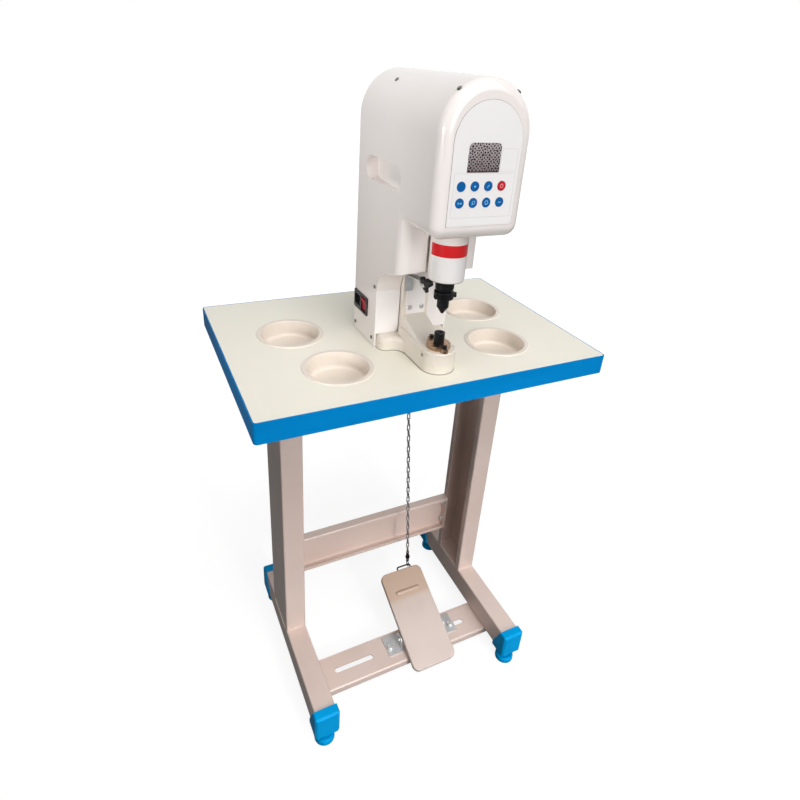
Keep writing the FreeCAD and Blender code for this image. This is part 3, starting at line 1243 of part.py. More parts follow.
def ram():
    """Round ram with a fork at its top that carries the roller pin and spring pins."""
    front = RAM_Y - ROLLER_WIDTH / 2.0
    rear = RAM_Y + ROLLER_WIDTH / 2.0
    shaft = rod((0, RAM_Y, SLEEVE_BOTTOM), (0, 0, 1), RAM_RADIUS, FORK_BOTTOM + 1
                - SLEEVE_BOTTOM)
    base = block("xy", -FORK_HALF, FORK_HALF, front - 1.0 - FORK_ARM, SPRING_Y + 3.0,
                 FORK_BOTTOM, FORK_TOP, 2.0)
    pieces = [shaft, base]
    for low in (front - 1.0 - FORK_ARM, rear + 1.0):
        pieces.append(prism("xz", [(-8.0, FORK_TOP - 1), (8.0, FORK_TOP - 1),
                                   (8.0, ROLLER_Z + 6.5), (-8.0, ROLLER_Z + 6.5)],
                            low, low + FORK_ARM, [0.0, 0.0, 6.0, 6.0]))
    pieces.append(rod((0, front - 1.0 - FORK_ARM, ROLLER_Z), (0, 1, 0), ROLLER_PIN_RADIUS,
                      ROLLER_WIDTH + 2.0 + 2 * FORK_ARM))
    pieces.append(rod((-SPRING_X - 5.0, SPRING_Y, SPRING_BOTTOM - 2.8), (1, 0, 0), 2.5,
                      2 * SPRING_X + 10.0))
    return joined(pieces)


def cam_roller():
    """Hardened roller on the fork's pin."""
    low = RAM_Y - ROLLER_WIDTH / 2.0
    return ring((0, low, ROLLER_Z), (0, 1, 0), ROLLER_RADIUS, ROLLER_PIN_RADIUS + FIT,
                ROLLER_WIDTH)


def tool_holder():
    """Black holder on the ram: a flange, a waist and a collar with two thumb knobs."""
    outline = [(0.0, SLEEVE_BOTTOM), (14.0, SLEEVE_BOTTOM), (14.0, HOLDER_BOTTOM + 2.0),
               (11.5, HOLDER_BOTTOM), (11.5, HOLDER_BOTTOM - 1.5), (15.0, HOLDER_BOTTOM - 3.0),
               (15.0, COLLAR_BOTTOM), (0.0, COLLAR_BOTTOM)]
    body = revolved(outline, 0.0, RAM_Y, [0.0, 1.0, 0.0, 0.0, 0.0, 1.2, 1.5, 0.0])
    pieces = [body]
    middle = (HOLDER_BOTTOM - 3.0 + COLLAR_BOTTOM) / 2.0
    for turn in (200.0, 340.0):
        angle = math.radians(turn)
        direction = (math.cos(angle), math.sin(angle), 0)
        pieces.append(rod((0, RAM_Y, middle), direction, 4.0, 18.5))
    body = joined(pieces)
    return body.cut(rod((0, RAM_Y, COLLAR_BOTTOM - 1), (0, 0, 1), 6.0 + FIT, 13.0))


def upper_die():
    """Turned punch with a cone tip and a spigot in the holder."""
    outline = [(0.0, COLLAR_BOTTOM + 11.0), (6.0, COLLAR_BOTTOM + 11.0),
               (6.0, COLLAR_BOTTOM), (9.0, COLLAR_BOTTOM), (9.0, DIE_BOTTOM), (2.0, DIE_TIP),
               (0.0, DIE_TIP)]
    return revolved(outline, 0.0, RAM_Y, [0.0, 0.5, 0.0, 0.5, 1.0, 0.8, 0.0])


def lower_die():
    """Turned die with a dished top and a spigot in the nose of the casting."""
    top = DIE_TIP - DIE_GAP
    outline = [(0.0, DIE_BASE - 11.0), (5.0, DIE_BASE - 11.0), (5.0, DIE_BASE),
               (8.3, DIE_BASE), (8.3, top), (5.6, top), (4.0, top - 3.0), (2.0, top - 3.0),
               (2.0, top - 9.0), (0.0, top - 9.0)]
    return revolved(outline, 0.0, RAM_Y, [0, 0.5, 0, 0, 0.8, 0.4, 0.6, 0, 0, 0])


RING_RADIUS = 18.5
RING_HEIGHT = 7.0
RING_EARS = [(-1.5, 20.5), (-1.0, -20.5)]


def die_ring():
    """Clamp ring round the lower die with two screw ears."""
    body = rod((0, RAM_Y, DIE_BASE), (0, 0, 1), RING_RADIUS, RING_HEIGHT)
    pieces = [body]
    for x, y in RING_EARS:
        pieces.append(rod((x, RAM_Y + y, DIE_BASE), (0, 0, 1), 6.0, RING_HEIGHT))
    body = joined(pieces)
    body = body.cut(rod((0, RAM_Y, DIE_BASE - 1), (0, 0, 1), 8.3 + FIT, 20))
    for x, y in RING_EARS:
        body = body.cut(rod((x, RAM_Y + y, DIE_BASE - 1), (0, 0, 1), 2.0 + FIT, 20))
    return body


def die_screws():
    """Socket screws that stand in the ears of the clamp ring."""
    pieces = []
    for x, y in RING_EARS:
        top = DIE_BASE + RING_HEIGHT
        head = ring((x, RAM_Y + y, top), (0, 0, 1), 3.6, 1.6, 4.0)
        shank = rod((x, RAM_Y + y, DIE_BASE + 0.2), (0, 0, 1), 2.0, RING_HEIGHT + 1.0)
        pieces.append(joined([head, shank]))
    return together(pieces)


# ---------------------------------------------------------------- aiming lamp
LAMP_CLAMP_Z = TABLE_HEIGHT + 140.0
LAMP_TOP = (-23.3, -113.0, LAMP_CLAMP_Z)
LAMP_TIP = (-13.3, -113.0, LAMP_CLAMP_Z - 24.0)
LAMP_RADIUS = 4.5


def lamp_axis():
    top = Vector(*LAMP_TOP)
    run = Vector(*LAMP_TIP) - top
    return top, run.normalize(), Vector(*LAMP_TOP).distanceToPoint(Vector(*LAMP_TIP))


def lamp_bracket():
    """Bent zinc strip from the column to the lamp's clamp loop."""
    face = COLUMN_FRONT - PLATE_THICKNESS
    low = PLATE_TOP - 30.0
    bend = PLATE_TOP - 4.5
    end = LAMP_CLAMP_Z - 7.0
    strip = prism("yz", [(face, low), (face, bend), (face - 2.0, bend + 2.1), (-107.0, end),
                         (-107.0, end - 1.6), (face - 2.3, bend + 0.4),
                         (face - 1.5, bend - 0.7), (face - 1.5, low)], -22.0, -8.0)
    top, direction, _ = lamp_axis()
    loop = rod(tuple(top + direction * 7.0), tuple(direction), LAMP_RADIUS + 2.0, 6.0)
    body = joined([strip, loop])
    hole = rod(tuple(top - direction * 10.0), tuple(direction), LAMP_RADIUS + FIT, 60.0)
    body = body.cut(hole)
    return body


def aiming_lamp():
    """Small tube lamp with a domed tip, held in the clamp loop."""
    _, _, length = lamp_axis()
    outline = [(0.0, 0.0), (LAMP_RADIUS, 0.0), (LAMP_RADIUS, -length + 6.0),
               (3.2, -length + 6.0), (3.2, -length), (0.0, -length)]
    body = revolved(outline, 0.0, 0.0, [0.0, 1.2, 0.6, 0.0, 1.5, 0.0])
    top, direction, _ = lamp_axis()
    body.Placement = Placement(top, Rotation(Vector(0, 0, -1), direction))
    return body


# ---------------------------------------------------------------- drive
HUB_RADIUS = 14.0
PULLEY_FRONT = 27.0
SHAFT_REAR = 39.4


def pitch_radius(angle):
    """Distance of the roller centre from the camshaft, constant rise over half a turn."""
    rate = STROKE / 180.0
    lead = 8.0
    angle = (angle + lead) % 360.0 - lead
    if -lead <= angle <= 180.0 + lead:
        return CAM_LOW + rate * angle
    span = 360.0 - 180.0 - 2.0 * lead
    share = (angle - 180.0 - lead) / span
    start = CAM_LOW + rate * (180.0 + lead)
    end = CAM_LOW - rate * lead
    slope = rate * span
    return (start * (2 * share ** 3 - 3 * share ** 2 + 1)
            + slope * (share ** 3 - 2 * share ** 2 + share)
            + end * (3 * share ** 2 - 2 * share ** 3)
            + slope * (share ** 3 - share ** 2))


def cam_outline_point(angle):
    """Point of the cam surface, offset from the pitch curve by the roller."""
    step = 0.5
    rate = (pitch_radius(angle + step) - pitch_radius(angle - step)) / math.radians(2 * step)
    radius = pitch_radius(angle)
    turn = math.radians(angle)
    out = (math.sin(turn), -math.cos(turn))
    ahead = (math.cos(turn), math.sin(turn))
    normal = (rate * ahead[0] - radius * out[0], rate * ahead[1] - radius * out[1])
    length = math.hypot(*normal)
    offset = ROLLER_RADIUS + SEAT
    return (radius * out[0] + offset * normal[0] / length,
            radius * out[1] + offset * normal[1] / length)


def camshaft():
    """Shaft with a heart-shaped cam in front and the driven pulley at the rear."""
    low = RAM_Y - CAM_THICKNESS / 2.0
    points = []
    for index in range(44):
        x, z = cam_outline_point(360.0 * index / 44.0)
        points.append(Vector(x, low, CAM_AXIS_Z + z))
    curve = Part.BSplineCurve()
    curve.interpolate(points, PeriodicFlag=True)
    cam = Part.Face(Part.Wire(curve.toShape())).extrude(Vector(0, CAM_THICKNESS, 0))
    along = (0, 1, 0)
    shaft = rod((0, low - 2.0, CAM_AXIS_Z), along, CAM_SHAFT_RADIUS, SHAFT_REAR - low + 2.0)
    hub = rod((0, low + CAM_THICKNESS, CAM_AXIS_Z), along, HUB_RADIUS,
              BLOCK_FRONT - 2.0 - low - CAM_THICKNESS)
    return joined([cam, shaft, hub] + pulley(0.0, CAM_AXIS_Z, CAM_PULLEY_RADIUS))


def pulley(x, z, radius):
    """Flat pulley with a low flange at each side."""
    along = (0, 1, 0)
    rear = PULLEY_FRONT + PULLEY_WIDTH - 1.0
    return [rod((x, PULLEY_FRONT, z), along, radius, PULLEY_WIDTH),
            rod((x, PULLEY_FRONT, z), along, radius + 1.8, 1.0),
            rod((x, rear, z), along, radius + 1.8, 1.0)]


def cam_bearings():
    """Two bearings of the camshaft in the casting."""
    rings = []
    for y in (BLOCK_FRONT, COLUMN_REAR - BEARING_WIDTH):
        rings.append(ring((0, y, CAM_AXIS_Z), (0, 1, 0), CAM_BEARING_RADIUS,
                          CAM_SHAFT_RADIUS + FIT, BEARING_WIDTH))
    return together(rings)


def motor():
    """Gear motor on a plate at the rear of the casting."""
    along = (0, 1, 0)
    body = rod((MOTOR_X, COLUMN_REAR - 105.0, MOTOR_Z), along, MOTOR_RADIUS, 106.0)
    edges = [e for e in body.Edges if e.BoundBox.YMax < COLUMN_REAR - 104.0]
    body = body.makeFillet(3.0, edges)
    plate = block("xz", MOTOR_X - MOTOR_RADIUS, -4.0, MOTOR_Z - 20.0, MOTOR_Z + 20.0,
                  COLUMN_REAR, COLUMN_REAR + 4.0, 3.0)
    heads = []
    for z in (MOTOR_Z - 13.0, MOTOR_Z + 13.0):
        heads.append(rod((-11.0, COLUMN_REAR + 3.5, z), along, 3.5, 2.5))
    body = joined([body, plate] + heads)
    return body.cut(rod((MOTOR_X, COLUMN_REAR - 20.0, MOTOR_Z), along, 3.0 + FIT, 40))


def motor_pulley():
    """Small pulley with its shaft."""
    shaft = rod((MOTOR_X, COLUMN_REAR - 19.5, MOTOR_Z), (0, 1, 0), 3.0,
                SHAFT_REAR - COLUMN_REAR + 19.5)
    return joined([shaft] + pulley(MOTOR_X, MOTOR_Z, MOTOR_PULLEY_RADIUS))


def belt_form(grow, low, high):
    """Hull of the two pulleys, widened, as a prism."""
    big = CAM_PULLEY_RADIUS + grow
    small = MOTOR_PULLEY_RADIUS + grow
    run_x = MOTOR_X
    run_z = MOTOR_Z - CAM_AXIS_Z
    length = math.hypot(run_x, run_z)
    base = math.atan2(run_z, run_x)
    swing = math.acos((big - small) / length)
    points = []
    for centre, radius in (((0.0, CAM_AXIS_Z), big), ((MOTOR_X, MOTOR_Z), small)):
        for sign in (1, -1):
            angle = base + sign * swing
            points.append((centre[0] + radius * math.cos(angle),
                           centre[1] + radius * math.sin(angle)))
    strip = prism("xz", [points[0], points[1], points[3], points[2]], low, high)
    return joined([strip, rod((0, low, CAM_AXIS_Z), (0, 1, 0), big, high - low),
                   rod((MOTOR_X, low, MOTOR_Z), (0, 1, 0), small, high - low)])


def drive_belt():
    """Flat belt round both pulleys."""
    low = PULLEY_FRONT + 1.3
    high = PULLEY_FRONT + PULLEY_WIDTH - 1.3
    outer = belt_form(SEAT + BELT_THICKNESS, low, high)
    return outer.cut(belt_form(SEAT, low - 1, high + 1))


def return_springs():
    """Two extension springs between the casting's posts and the ram's cross pins."""
    top = POST_Z - POST_RADIUS - 0.2
    pieces = []
    for x in (-SPRING_X, SPRING_X):
        body = ring((x, SPRING_Y, SPRING_BOTTOM), (0, 0, 1), SPRING_RADIUS, 2.6,
                    top - SPRING_BOTTOM)
        pieces.append(body)
    return together(pieces)


# ---------------------------------------------------------------- trip
def strap(p, q, radius, low, high):
    """Flat bar with round ends between two points of the yz plane."""
    run = (q[0] - p[0], q[1] - p[1])
    length = math.hypot(*run)
    side = (-run[1] / length * radius, run[0] / length * radius)
    middle = prism("yz", [(p[0] + side[0], p[1] + side[1]), (q[0] + side[0], q[1] + side[1]),
                          (q[0] - side[0], q[1] - side[1]), (p[0] - side[0], p[1] - side[1])],
                   low, high)
    ends = [rod((low, p[0], p[1]), (1, 0, 0), radius, high - low),
            rod((low, q[0], q[1]), (1, 0, 0), radius, high - low)]
    return joined([middle] + ends)


def trip_lever():
    """Two-armed lever: the chain pulls its rear eye, its front arm lifts the plunger."""
    low = TRIP_X
    high = TRIP_X + TRIP_PLATE
    pivot = (TRIP_Y, TRIP_Z)
    rear = strap(pivot, (HITCH_Y, HITCH_Z), HITCH_HOLE_RADIUS + 2.1, low, high)
    drop = math.radians(10.0)
    tip = (TRIP_Y - 16.0 * math.cos(drop), TRIP_Z - 16.0 * math.sin(drop))
    front = strap(pivot, tip, 3.0, low, high)
    hub = rod((low, TRIP_Y, TRIP_Z), (1, 0, 0), 7.5, TRIP_PLATE)
    body = joined([rear, front, hub])
    body = body.cut(rod((low - 1, TRIP_Y, TRIP_Z), (1, 0, 0), TRIP_PIN_RADIUS + FIT, 10))
    return body.cut(rod((low - 1, HITCH_Y, HITCH_Z), (1, 0, 0), HITCH_HOLE_RADIUS, 10))


def trip_switch():
    """Small limit switch on the side of the column, with its plunger."""
    body = block("yz", SWITCH_FRONT, SWITCH_REAR, PLUNGER_Z + 1.6, PLUNGER_Z + 17.6,
                 COLUMN_HALF, COLUMN_HALF + 12.0, 1.5)
    plunger = rod((TRIP_X + TRIP_PLATE / 2.0, TRIP_Y - 15.5, PLUNGER_Z), (0, 0, 1), 1.6, 3.0)
    return joined([body, plunger])


def lever_spring():
    """Torsion spring coiled round the lever's shoulder."""
    inner = 6.0 + SEAT
    pieces = []
    coil = 0.0
    while coil < 3:
        x = COLUMN_HALF + 0.3 + coil * 1.7
        pieces.append(ring((x, TRIP_Y, TRIP_Z), (1, 0, 0), inner + 1.5, inner, 1.7))
        coil = coil + 1
    leg = box(COLUMN_HALF + 0.3, COLUMN_HALF + 1.8, TRIP_Y + inner, TRIP_Y + inner + 1.5,
              TRIP_Z, TRIP_Z + 18.0)
    return joined(pieces + [leg])


# ---------------------------------------------------------------- export
def export(name, shape):
    moved = shape.copy()
    moved.translate(Vector(0, SHIFT_Y, 0))
    moved.exportStep("parts/" + name + ".step")
    print(name, len(moved.Solids), moved.isValid(), round(moved.Volume))


def main():
    os.makedirs("parts", exist_ok=True)
    export("table_top", table_top())
    export("edge_band", edge_band())
    export("eyelet_cups", eyelet_cups())
    export("left_column", column(-1))
    export("right_column", column(1))
    export("cross_beam", cross_beam())
    export("left_foot_beam", foot_beam(-1))
    export("right_foot_beam", foot_beam(1))
    export("pedal_bar", pedal_bar())
    export("end_caps", end_caps())
    export("foot_front_left", levelling_foot(-1, FOOT_FRONT_Y))
    export("foot_front_right", levelling_foot(1, FOOT_FRONT_Y))
    export("foot_rear_left", levelling_foot(-1, FOOT_REAR_Y))
    export("foot_rear_right", levelling_foot(1, FOOT_REAR_Y))
    export("stand_fasteners", together(stand_fasteners() + bracket_bolts()))
    export("left_pedal_bracket", pedal_bracket(-1))
    export("right_pedal_bracket", pedal_bracket(1))
    export("pedal_pin", pedal_pin())
    export("pedal", pedal())
    export("top_shackle", top_shackle())
    export("chain", chain())
    export("chain_hook", chain_hook())
    export("casting", casting())
    export("column_plate", column_plate())
    export("hood", hood())
    export("lower_front_cover", lower_front_cover())
    export("rear_panel", rear_panel())
    export("cover_screws", cover_screws())
    export("switch_module", switch_module())
    export("rocker", rocker())
    export("front_panel", front_panel())
    export("display_window", display_window())
    for row_index, row_name in enumerate(("upper", "lower")):
        for column_index in range(len(KEY_COLUMNS)):
            name = "key_" + row_name + "_" + str(column_index + 1)
            export(name, control_key(column_index, row_index))
    export("control_board", control_board())
    export("ram_sleeve", ram_sleeve())
    export("ram", ram())
    export("cam_roller", cam_roller())
    export("tool_holder", tool_holder())
    export("upper_die", upper_die())
    export("lower_die", lower_die())
    export("die_ring", die_ring())
    export("die_screws", die_screws())
    export("lamp_bracket", lamp_bracket())
    export("aiming_lamp", aiming_lamp())
    export("camshaft", camshaft())
    export("cam_bearings", cam_bearings())
    export("motor", motor())
    export("motor_pulley", motor_pulley())
    export("drive_belt", drive_belt())
    export("return_springs", return_springs())
    export("trip_lever", trip_lever())
    export("trip_switch", trip_switch())
    export("lever_spring", lever_spring())


main()
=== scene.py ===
import json
import math

import bpy
from mathutils import Matrix, Vector

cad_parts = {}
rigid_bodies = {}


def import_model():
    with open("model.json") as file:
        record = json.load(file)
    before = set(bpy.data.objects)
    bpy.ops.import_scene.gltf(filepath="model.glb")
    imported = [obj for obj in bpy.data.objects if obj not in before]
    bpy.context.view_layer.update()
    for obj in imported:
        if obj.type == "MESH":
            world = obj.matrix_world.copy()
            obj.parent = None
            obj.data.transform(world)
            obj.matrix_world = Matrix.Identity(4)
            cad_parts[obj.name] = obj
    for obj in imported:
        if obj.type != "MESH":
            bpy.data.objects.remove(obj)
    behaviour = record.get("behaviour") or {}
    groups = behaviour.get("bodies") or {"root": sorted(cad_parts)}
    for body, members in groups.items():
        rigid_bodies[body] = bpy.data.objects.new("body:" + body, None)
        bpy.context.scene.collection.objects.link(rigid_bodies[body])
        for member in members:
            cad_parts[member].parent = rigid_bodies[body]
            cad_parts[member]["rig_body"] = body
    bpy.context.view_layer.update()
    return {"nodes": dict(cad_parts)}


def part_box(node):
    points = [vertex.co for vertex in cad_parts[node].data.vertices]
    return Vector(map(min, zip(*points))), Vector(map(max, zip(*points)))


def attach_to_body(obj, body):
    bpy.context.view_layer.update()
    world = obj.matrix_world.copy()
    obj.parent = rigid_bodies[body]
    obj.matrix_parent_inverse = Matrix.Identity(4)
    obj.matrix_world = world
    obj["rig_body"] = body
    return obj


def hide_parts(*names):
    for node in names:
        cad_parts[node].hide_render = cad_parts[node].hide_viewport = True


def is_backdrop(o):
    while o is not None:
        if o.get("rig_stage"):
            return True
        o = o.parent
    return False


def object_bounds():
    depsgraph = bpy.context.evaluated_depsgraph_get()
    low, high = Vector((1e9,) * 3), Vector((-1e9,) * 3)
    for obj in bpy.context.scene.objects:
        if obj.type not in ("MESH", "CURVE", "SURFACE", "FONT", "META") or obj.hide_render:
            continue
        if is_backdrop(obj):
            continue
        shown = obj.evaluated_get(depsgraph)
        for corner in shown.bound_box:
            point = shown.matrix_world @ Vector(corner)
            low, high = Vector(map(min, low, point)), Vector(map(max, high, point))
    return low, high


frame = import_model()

# ------------------------------------------------------------------ painted stand
# Columns, foot beams, cross beam and pedal bar: folded steel sheet, welded and bolted,
# under a warm beige powder coat with a faint pearl in it.  The coat has a fine orange
# peel, and every fold keeps a small radius that catches the light.


def linear(hex_colour):
    """sRGB hex to the linear colour that the shaders work in."""
    values = []
    for start in (1, 3, 5):
        part = int(hex_colour[start:start + 2], 16) / 255.0
        values.append(part / 12.92 if part <= 0.04045 else ((part + 0.055) / 1.055) ** 2.4)
    return (*values, 1.0)


def add(tree, kind, inputs=None, **settings):
    """Adds a node; an input takes either a value or the socket that feeds it."""
    node = tree.nodes.new("ShaderNode" + kind)
    for name, value in settings.items():
        setattr(node, name, value)
    for name, value in (inputs or {}).items():
        if isinstance(value, bpy.types.NodeSocket):
            tree.links.new(value, node.inputs[name])
        else:
            node.inputs[name].default_value = value
    return node


def surface(name, light, dark, drift_mm, grain_mm, relief_mm, rough, uneven,
            metallic=0.0, coat=0.0, stretch=(1.0, 1.0, 1.0), specular=0.5):
    """Finish with a slow drift of colour, a grain in relief and a gloss that varies."""
    least, most = 0.22, 0.78       # the part of the noise's range that the drift spans
    material = bpy.data.materials.new(name)
    material.use_nodes = True
    tree = material.node_tree
    shader = tree.nodes["Principled BSDF"]
    place = add(tree, "TexCoord")
    turned = add(tree, "Mapping", {"Vector": place.outputs["Object"], "Scale": stretch})
    drift = add(tree, "TexNoise", {"Vector": turned.outputs["Vector"],
                                   "Scale": 1000.0 / drift_mm, "Detail": 3.0})
    tint = add(tree, "ValToRGB", {"Fac": drift.outputs["Fac"]})
    tint.color_ramp.interpolation = "EASE"
    for stop, position, colour in zip(tint.color_ramp.elements, (least, most), (dark, light)):
        stop.position = position
        stop.color = linear(colour)
    grain = add(tree, "TexNoise", {"Vector": turned.outputs["Vector"],
                                   "Scale": 1000.0 / grain_mm, "Detail": 2.0})
    relief = add(tree, "Bump", {"Height": grain.outputs["Fac"], "Strength": 1.0,
                                "Distance": relief_mm / 1000.0})
    gloss = add(tree, "MapRange", {"Value": drift.outputs["Fac"], "From Min": least,
                                   "From Max": most, "To Min": rough - uneven,
                                   "To Max": rough + uneven},
                interpolation_type="SMOOTHSTEP")
    tree.links.new(tint.outputs["Color"], shader.inputs["Base Color"])
    tree.links.new(relief.outputs["Normal"], shader.inputs["Normal"])
    tree.links.new(gloss.outputs["Result"], shader.inputs["Roughness"])
    shader.inputs["Metallic"].default_value = metallic
    shader.inputs["Specular IOR Level"].default_value = specular
    shader.inputs["Coat Weight"].default_value = coat
    shader.inputs["Coat Roughness"].default_value = 0.12
    return material


def alone(piece):
    """Makes this the only selected piece."""
    bpy.ops.object.select_all(action="DESELECT")
    piece.select_set(True)
    bpy.context.view_layer.objects.active = piece


def attach(piece, name, material, body):
    """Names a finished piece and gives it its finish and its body."""
    piece.name = name
    piece.data.name = name
    piece.data.materials.clear()
    piece.data.materials.append(material)
    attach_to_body(piece, body)
    return piece


def twin(piece):
    """Copy of a piece, with a mesh of its own."""
    copied = piece.copy()
    copied.data = piece.data.copy()
    bpy.context.scene.collection.objects.link(copied)
    return copied


def modify(piece, kind, **settings):
    """Finishes a piece with a modifier, and applies it."""
    alone(piece)
    modifier = piece.modifiers.new(kind, kind)
    for name, value in settings.items():
        setattr(modifier, name, value)
    bpy.ops.object.modifier_apply(modifier=modifier.name)


def smooth_below(degrees):
    """Shades the active piece smooth, except over edges that turn more than this."""
    bpy.ops.object.shade_smooth_by_angle(angle=math.radians(degrees))


def merged_copy(node):
    """Copy of a solid, with its doubled points merged and its flat faces joined."""
    piece = twin(frame["nodes"][node])
    for key in list(piece.keys()):
        del piece[key]
    piece.parent = None
    alone(piece)
    bpy.ops.object.mode_set(mode="EDIT")
    bpy.ops.mesh.select_all(action="SELECT")
    bpy.ops.mesh.remove_doubles(threshold=0.000002)
    bpy.ops.mesh.dissolve_limited(angle_limit=math.radians(0.03))
    bpy.ops.object.mode_set(mode="OBJECT")
    return piece


def dress(node, material, edge_mm=0.0, smooth=32.0):
    """Copy of a solid with its sharp edges eased, in place of the solid."""
    piece = merged_copy(node)
    if edge_mm:
        modify(piece, "BEVEL", width=edge_mm / 1000.0, segments=2, limit_method="ANGLE",
               angle_limit=math.radians(40.0), use_clamp_overlap=True, harden_normals=False)
    smooth_below(smooth)
    modify(piece, "WEIGHTED_NORMAL", mode="FACE_AREA", keep_sharp=True)
    attach(piece, node + "_finished", material, frame["nodes"][node]["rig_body"])
    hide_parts(node)
    return piece


powder_coat = surface("powder_coat_pearl_beige", "#DCC9C0", "#D5BFB5", 160.0, 1.6, 0.018,
                      0.42, 0.04, coat=0.3, specular=0.8)
for part in ("left_column", "right_column", "left_foot_beam", "right_foot_beam",
             "cross_beam", "pedal_bar"):
    dress(part, powder_coat, edge_mm=0.5)

# ------------------------------------------------------------------ weld beads
# Each column is welded to its foot beam.  The bead is a row of overlapping ripples,
# laid by hand and painted over with the rest of the stand.
bead_radius, bead_rise = 0.0019, 0.0006
side_inset, front_half = 0.012, 0.004


def settle():
    """Puts the place, turn and scale of the selected piece into its mesh."""
    bpy.ops.object.transform_apply(location=True, rotation=True, scale=True)


def weld(name, start, end, count):
    """Row of flattened ripples between two points."""
    start, end = Vector(start), Vector(end)
    bpy.ops.object.select_all(action="DESELECT")
    bpy.ops.mesh.primitive_uv_sphere_add(segments=12, ring_count=8, radius=bead_radius,
                                         location=(0.0, 0.0, 0.0))
    ripples = [bpy.context.object]
    while len(ripples) < count:
        ripples.append(twin(ripples[0]))
    for index, ripple in enumerate(ripples):
        wander = 0.0003 * math.sin(index * 2.4)
        ripple.location = (start.lerp(end, index / (count - 1))
                           + Vector((wander, 0.0, wander / 2.0)))
        ripple.scale = (1.0 + 0.12 * math.sin(index * 1.7), 0.9, 0.8)
        ripple.select_set(True)
    bpy.context.view_layer.objects.active = ripples[0]
    bpy.ops.object.join()
    settle()
    bpy.ops.object.shade_smooth()
    attach(bpy.context.object, name, powder_coat, "stand")


for word in ("left", "right"):
    low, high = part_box(word + "_column")
    middle_x, bead_z = (low.x + high.x) / 2.0, low.z + bead_rise
    weld(word + "_front_weld", (middle_x - front_half, low.y, bead_z),
         (middle_x + front_half, low.y, bead_z), 6)
    outer = high.x if word == "right" else low.x
    weld(word + "_side_weld", (outer, low.y + side_inset, bead_z),
         (outer, high.y - side_inset, bead_z), 44)

# ------------------------------------------------------------------ table
# Chipboard faced on both sides with cream melamine.  The face is smooth and fairly
# glossy, with a faint mottle that shows only where the light glances off it.
melamine = surface("melamine_cream", "#F4F0E2", "#F3EEDF", 240.0, 2.4, 0.005, 0.28, 0.004)
dress("table_top", melamine, edge_mm=0.3)

# A blue ABS band is glued round the edge.  It is extruded, so it has fine lines along
# its length and a slightly rounded upper corner.
band_plastic = surface("abs_band_blue", "#0087CF", "#007FC4", 240.0, 3.0, 0.01, 0.42, 0.05,
                       stretch=(1.0, 1.0, 6.0), specular=0.06)
dress("edge_band", band_plastic, edge_mm=0.6)

# ------------------------------------------------------------------ eyelet cups
# Four moulded polystyrene cups, cream and evenly satin, sit in the board on their rims.
# A small dull steel screw through the floor of each, near the operator, holds it down.
cup_plastic = surface("polystyrene_cream", "#E9DED3", "#E5DACD", 90.0, 2.0, 0.008, 0.36, 0.02)
dress("eyelet_cups", cup_plastic, smooth=40.0)
screw_steel = surface("screw_steel_dull", "#8C8A86", "#6E6C69", 4.0, 0.8, 0.02, 0.4, 0.08,
                      metallic=1.0)
screw_radius, screw_height, screw_hollow = 0.0021, 0.0008, 0.0006
cup_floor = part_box("eyelet_cups")[0].z + 0.0016
cup_places = {"rear_left": (-0.181, 0.062), "rear_right": (0.181, 0.062),
              "front_left": (-0.146, -0.076), "front_right": (0.146, -0.076)}
screw_forward = 0.030


def pick(piece, chosen):
    """Selects the faces that pass a test, and stays in edit mode."""
    alone(piece)
    bpy.ops.object.mode_set(mode="EDIT")
    bpy.ops.mesh.select_mode(type="FACE")
    bpy.ops.mesh.select_all(action="DESELECT")
    bpy.ops.object.mode_set(mode="OBJECT")
    for face in piece.data.polygons:
        face.select = chosen(face)
    bpy.ops.object.mode_set(mode="EDIT")


bpy.ops.object.select_all(action="DESELECT")
bpy.ops.mesh.primitive_cylinder_add(vertices=20, radius=screw_radius, depth=screw_height,
                                    location=(0.0, 0.0, cup_floor + screw_height / 2.0))
screw_head = bpy.context.object
settle()
pick(screw_head, lambda face: face.normal.z > 0.9)
bpy.ops.mesh.inset(thickness=0.0004)
bpy.ops.mesh.inset(thickness=0.0008)
bpy.ops.transform.translate(value=(0.0, 0.0, -screw_hollow))
bpy.ops.object.mode_set(mode="OBJECT")
smooth_below(30.0)
for word, (x, y) in cup_places.items():
    screw = twin(screw_head)
    screw.data.transform(Matrix.Translation((x, y - screw_forward, 0.0)))
    attach(screw, "cup_screw_" + word, screw_steel, "stand")
bpy.data.objects.remove(screw_head, do_unlink=True)

# ------------------------------------------------------------------ caps and feet
# Blue polypropylene caps close the foot beams, and blue discs on threaded studs level
# the stand.  They are injection moulded, with a satin skin.
cap_plastic = surface("polypropylene_blue", "#00A4E8", "#009ADB", 50.0, 1.8, 0.012, 0.44, 0.05,
                      specular=0.06)
dress("end_caps", cap_plastic, edge_mm=0.6)
for part in ("foot_front_left", "foot_front_right", "foot_rear_left", "foot_rear_right"):
    dress(part, cap_plastic, edge_mm=0.4)

# ------------------------------------------------------------------ fasteners and pedal irons
# Zinc plated bolts, nuts and bent brackets.  The plating is bright, a little milky, and
# lies over the drawing marks of the sheet.
zinc = surface("zinc_plated_steel", "#D2D3D3", "#C2C4C5", 9.0, 1.2, 0.012, 0.34, 0.05,
               metallic=0.5)
for part in ("stand_fasteners", "left_pedal_bracket", "right_pedal_bracket", "lamp_bracket",
             "trip_lever", "lever_spring", "return_springs"):
    dress(part, zinc, edge_mm=0.3)

# Turned and ground steel, bright and fine: pivot pin, ram, roller, shaft and bearings.
ground_steel = surface("ground_steel", "#CFCFCE", "#BDBDBC", 8.0, 0.9, 0.006, 0.24, 0.05,
                       metallic=1.0)
for part in ("pedal_pin", "ram", "cam_roller", "camshaft", "cam_bearings", "motor_pulley"):
    dress(part, ground_steel, edge_mm=0.2)

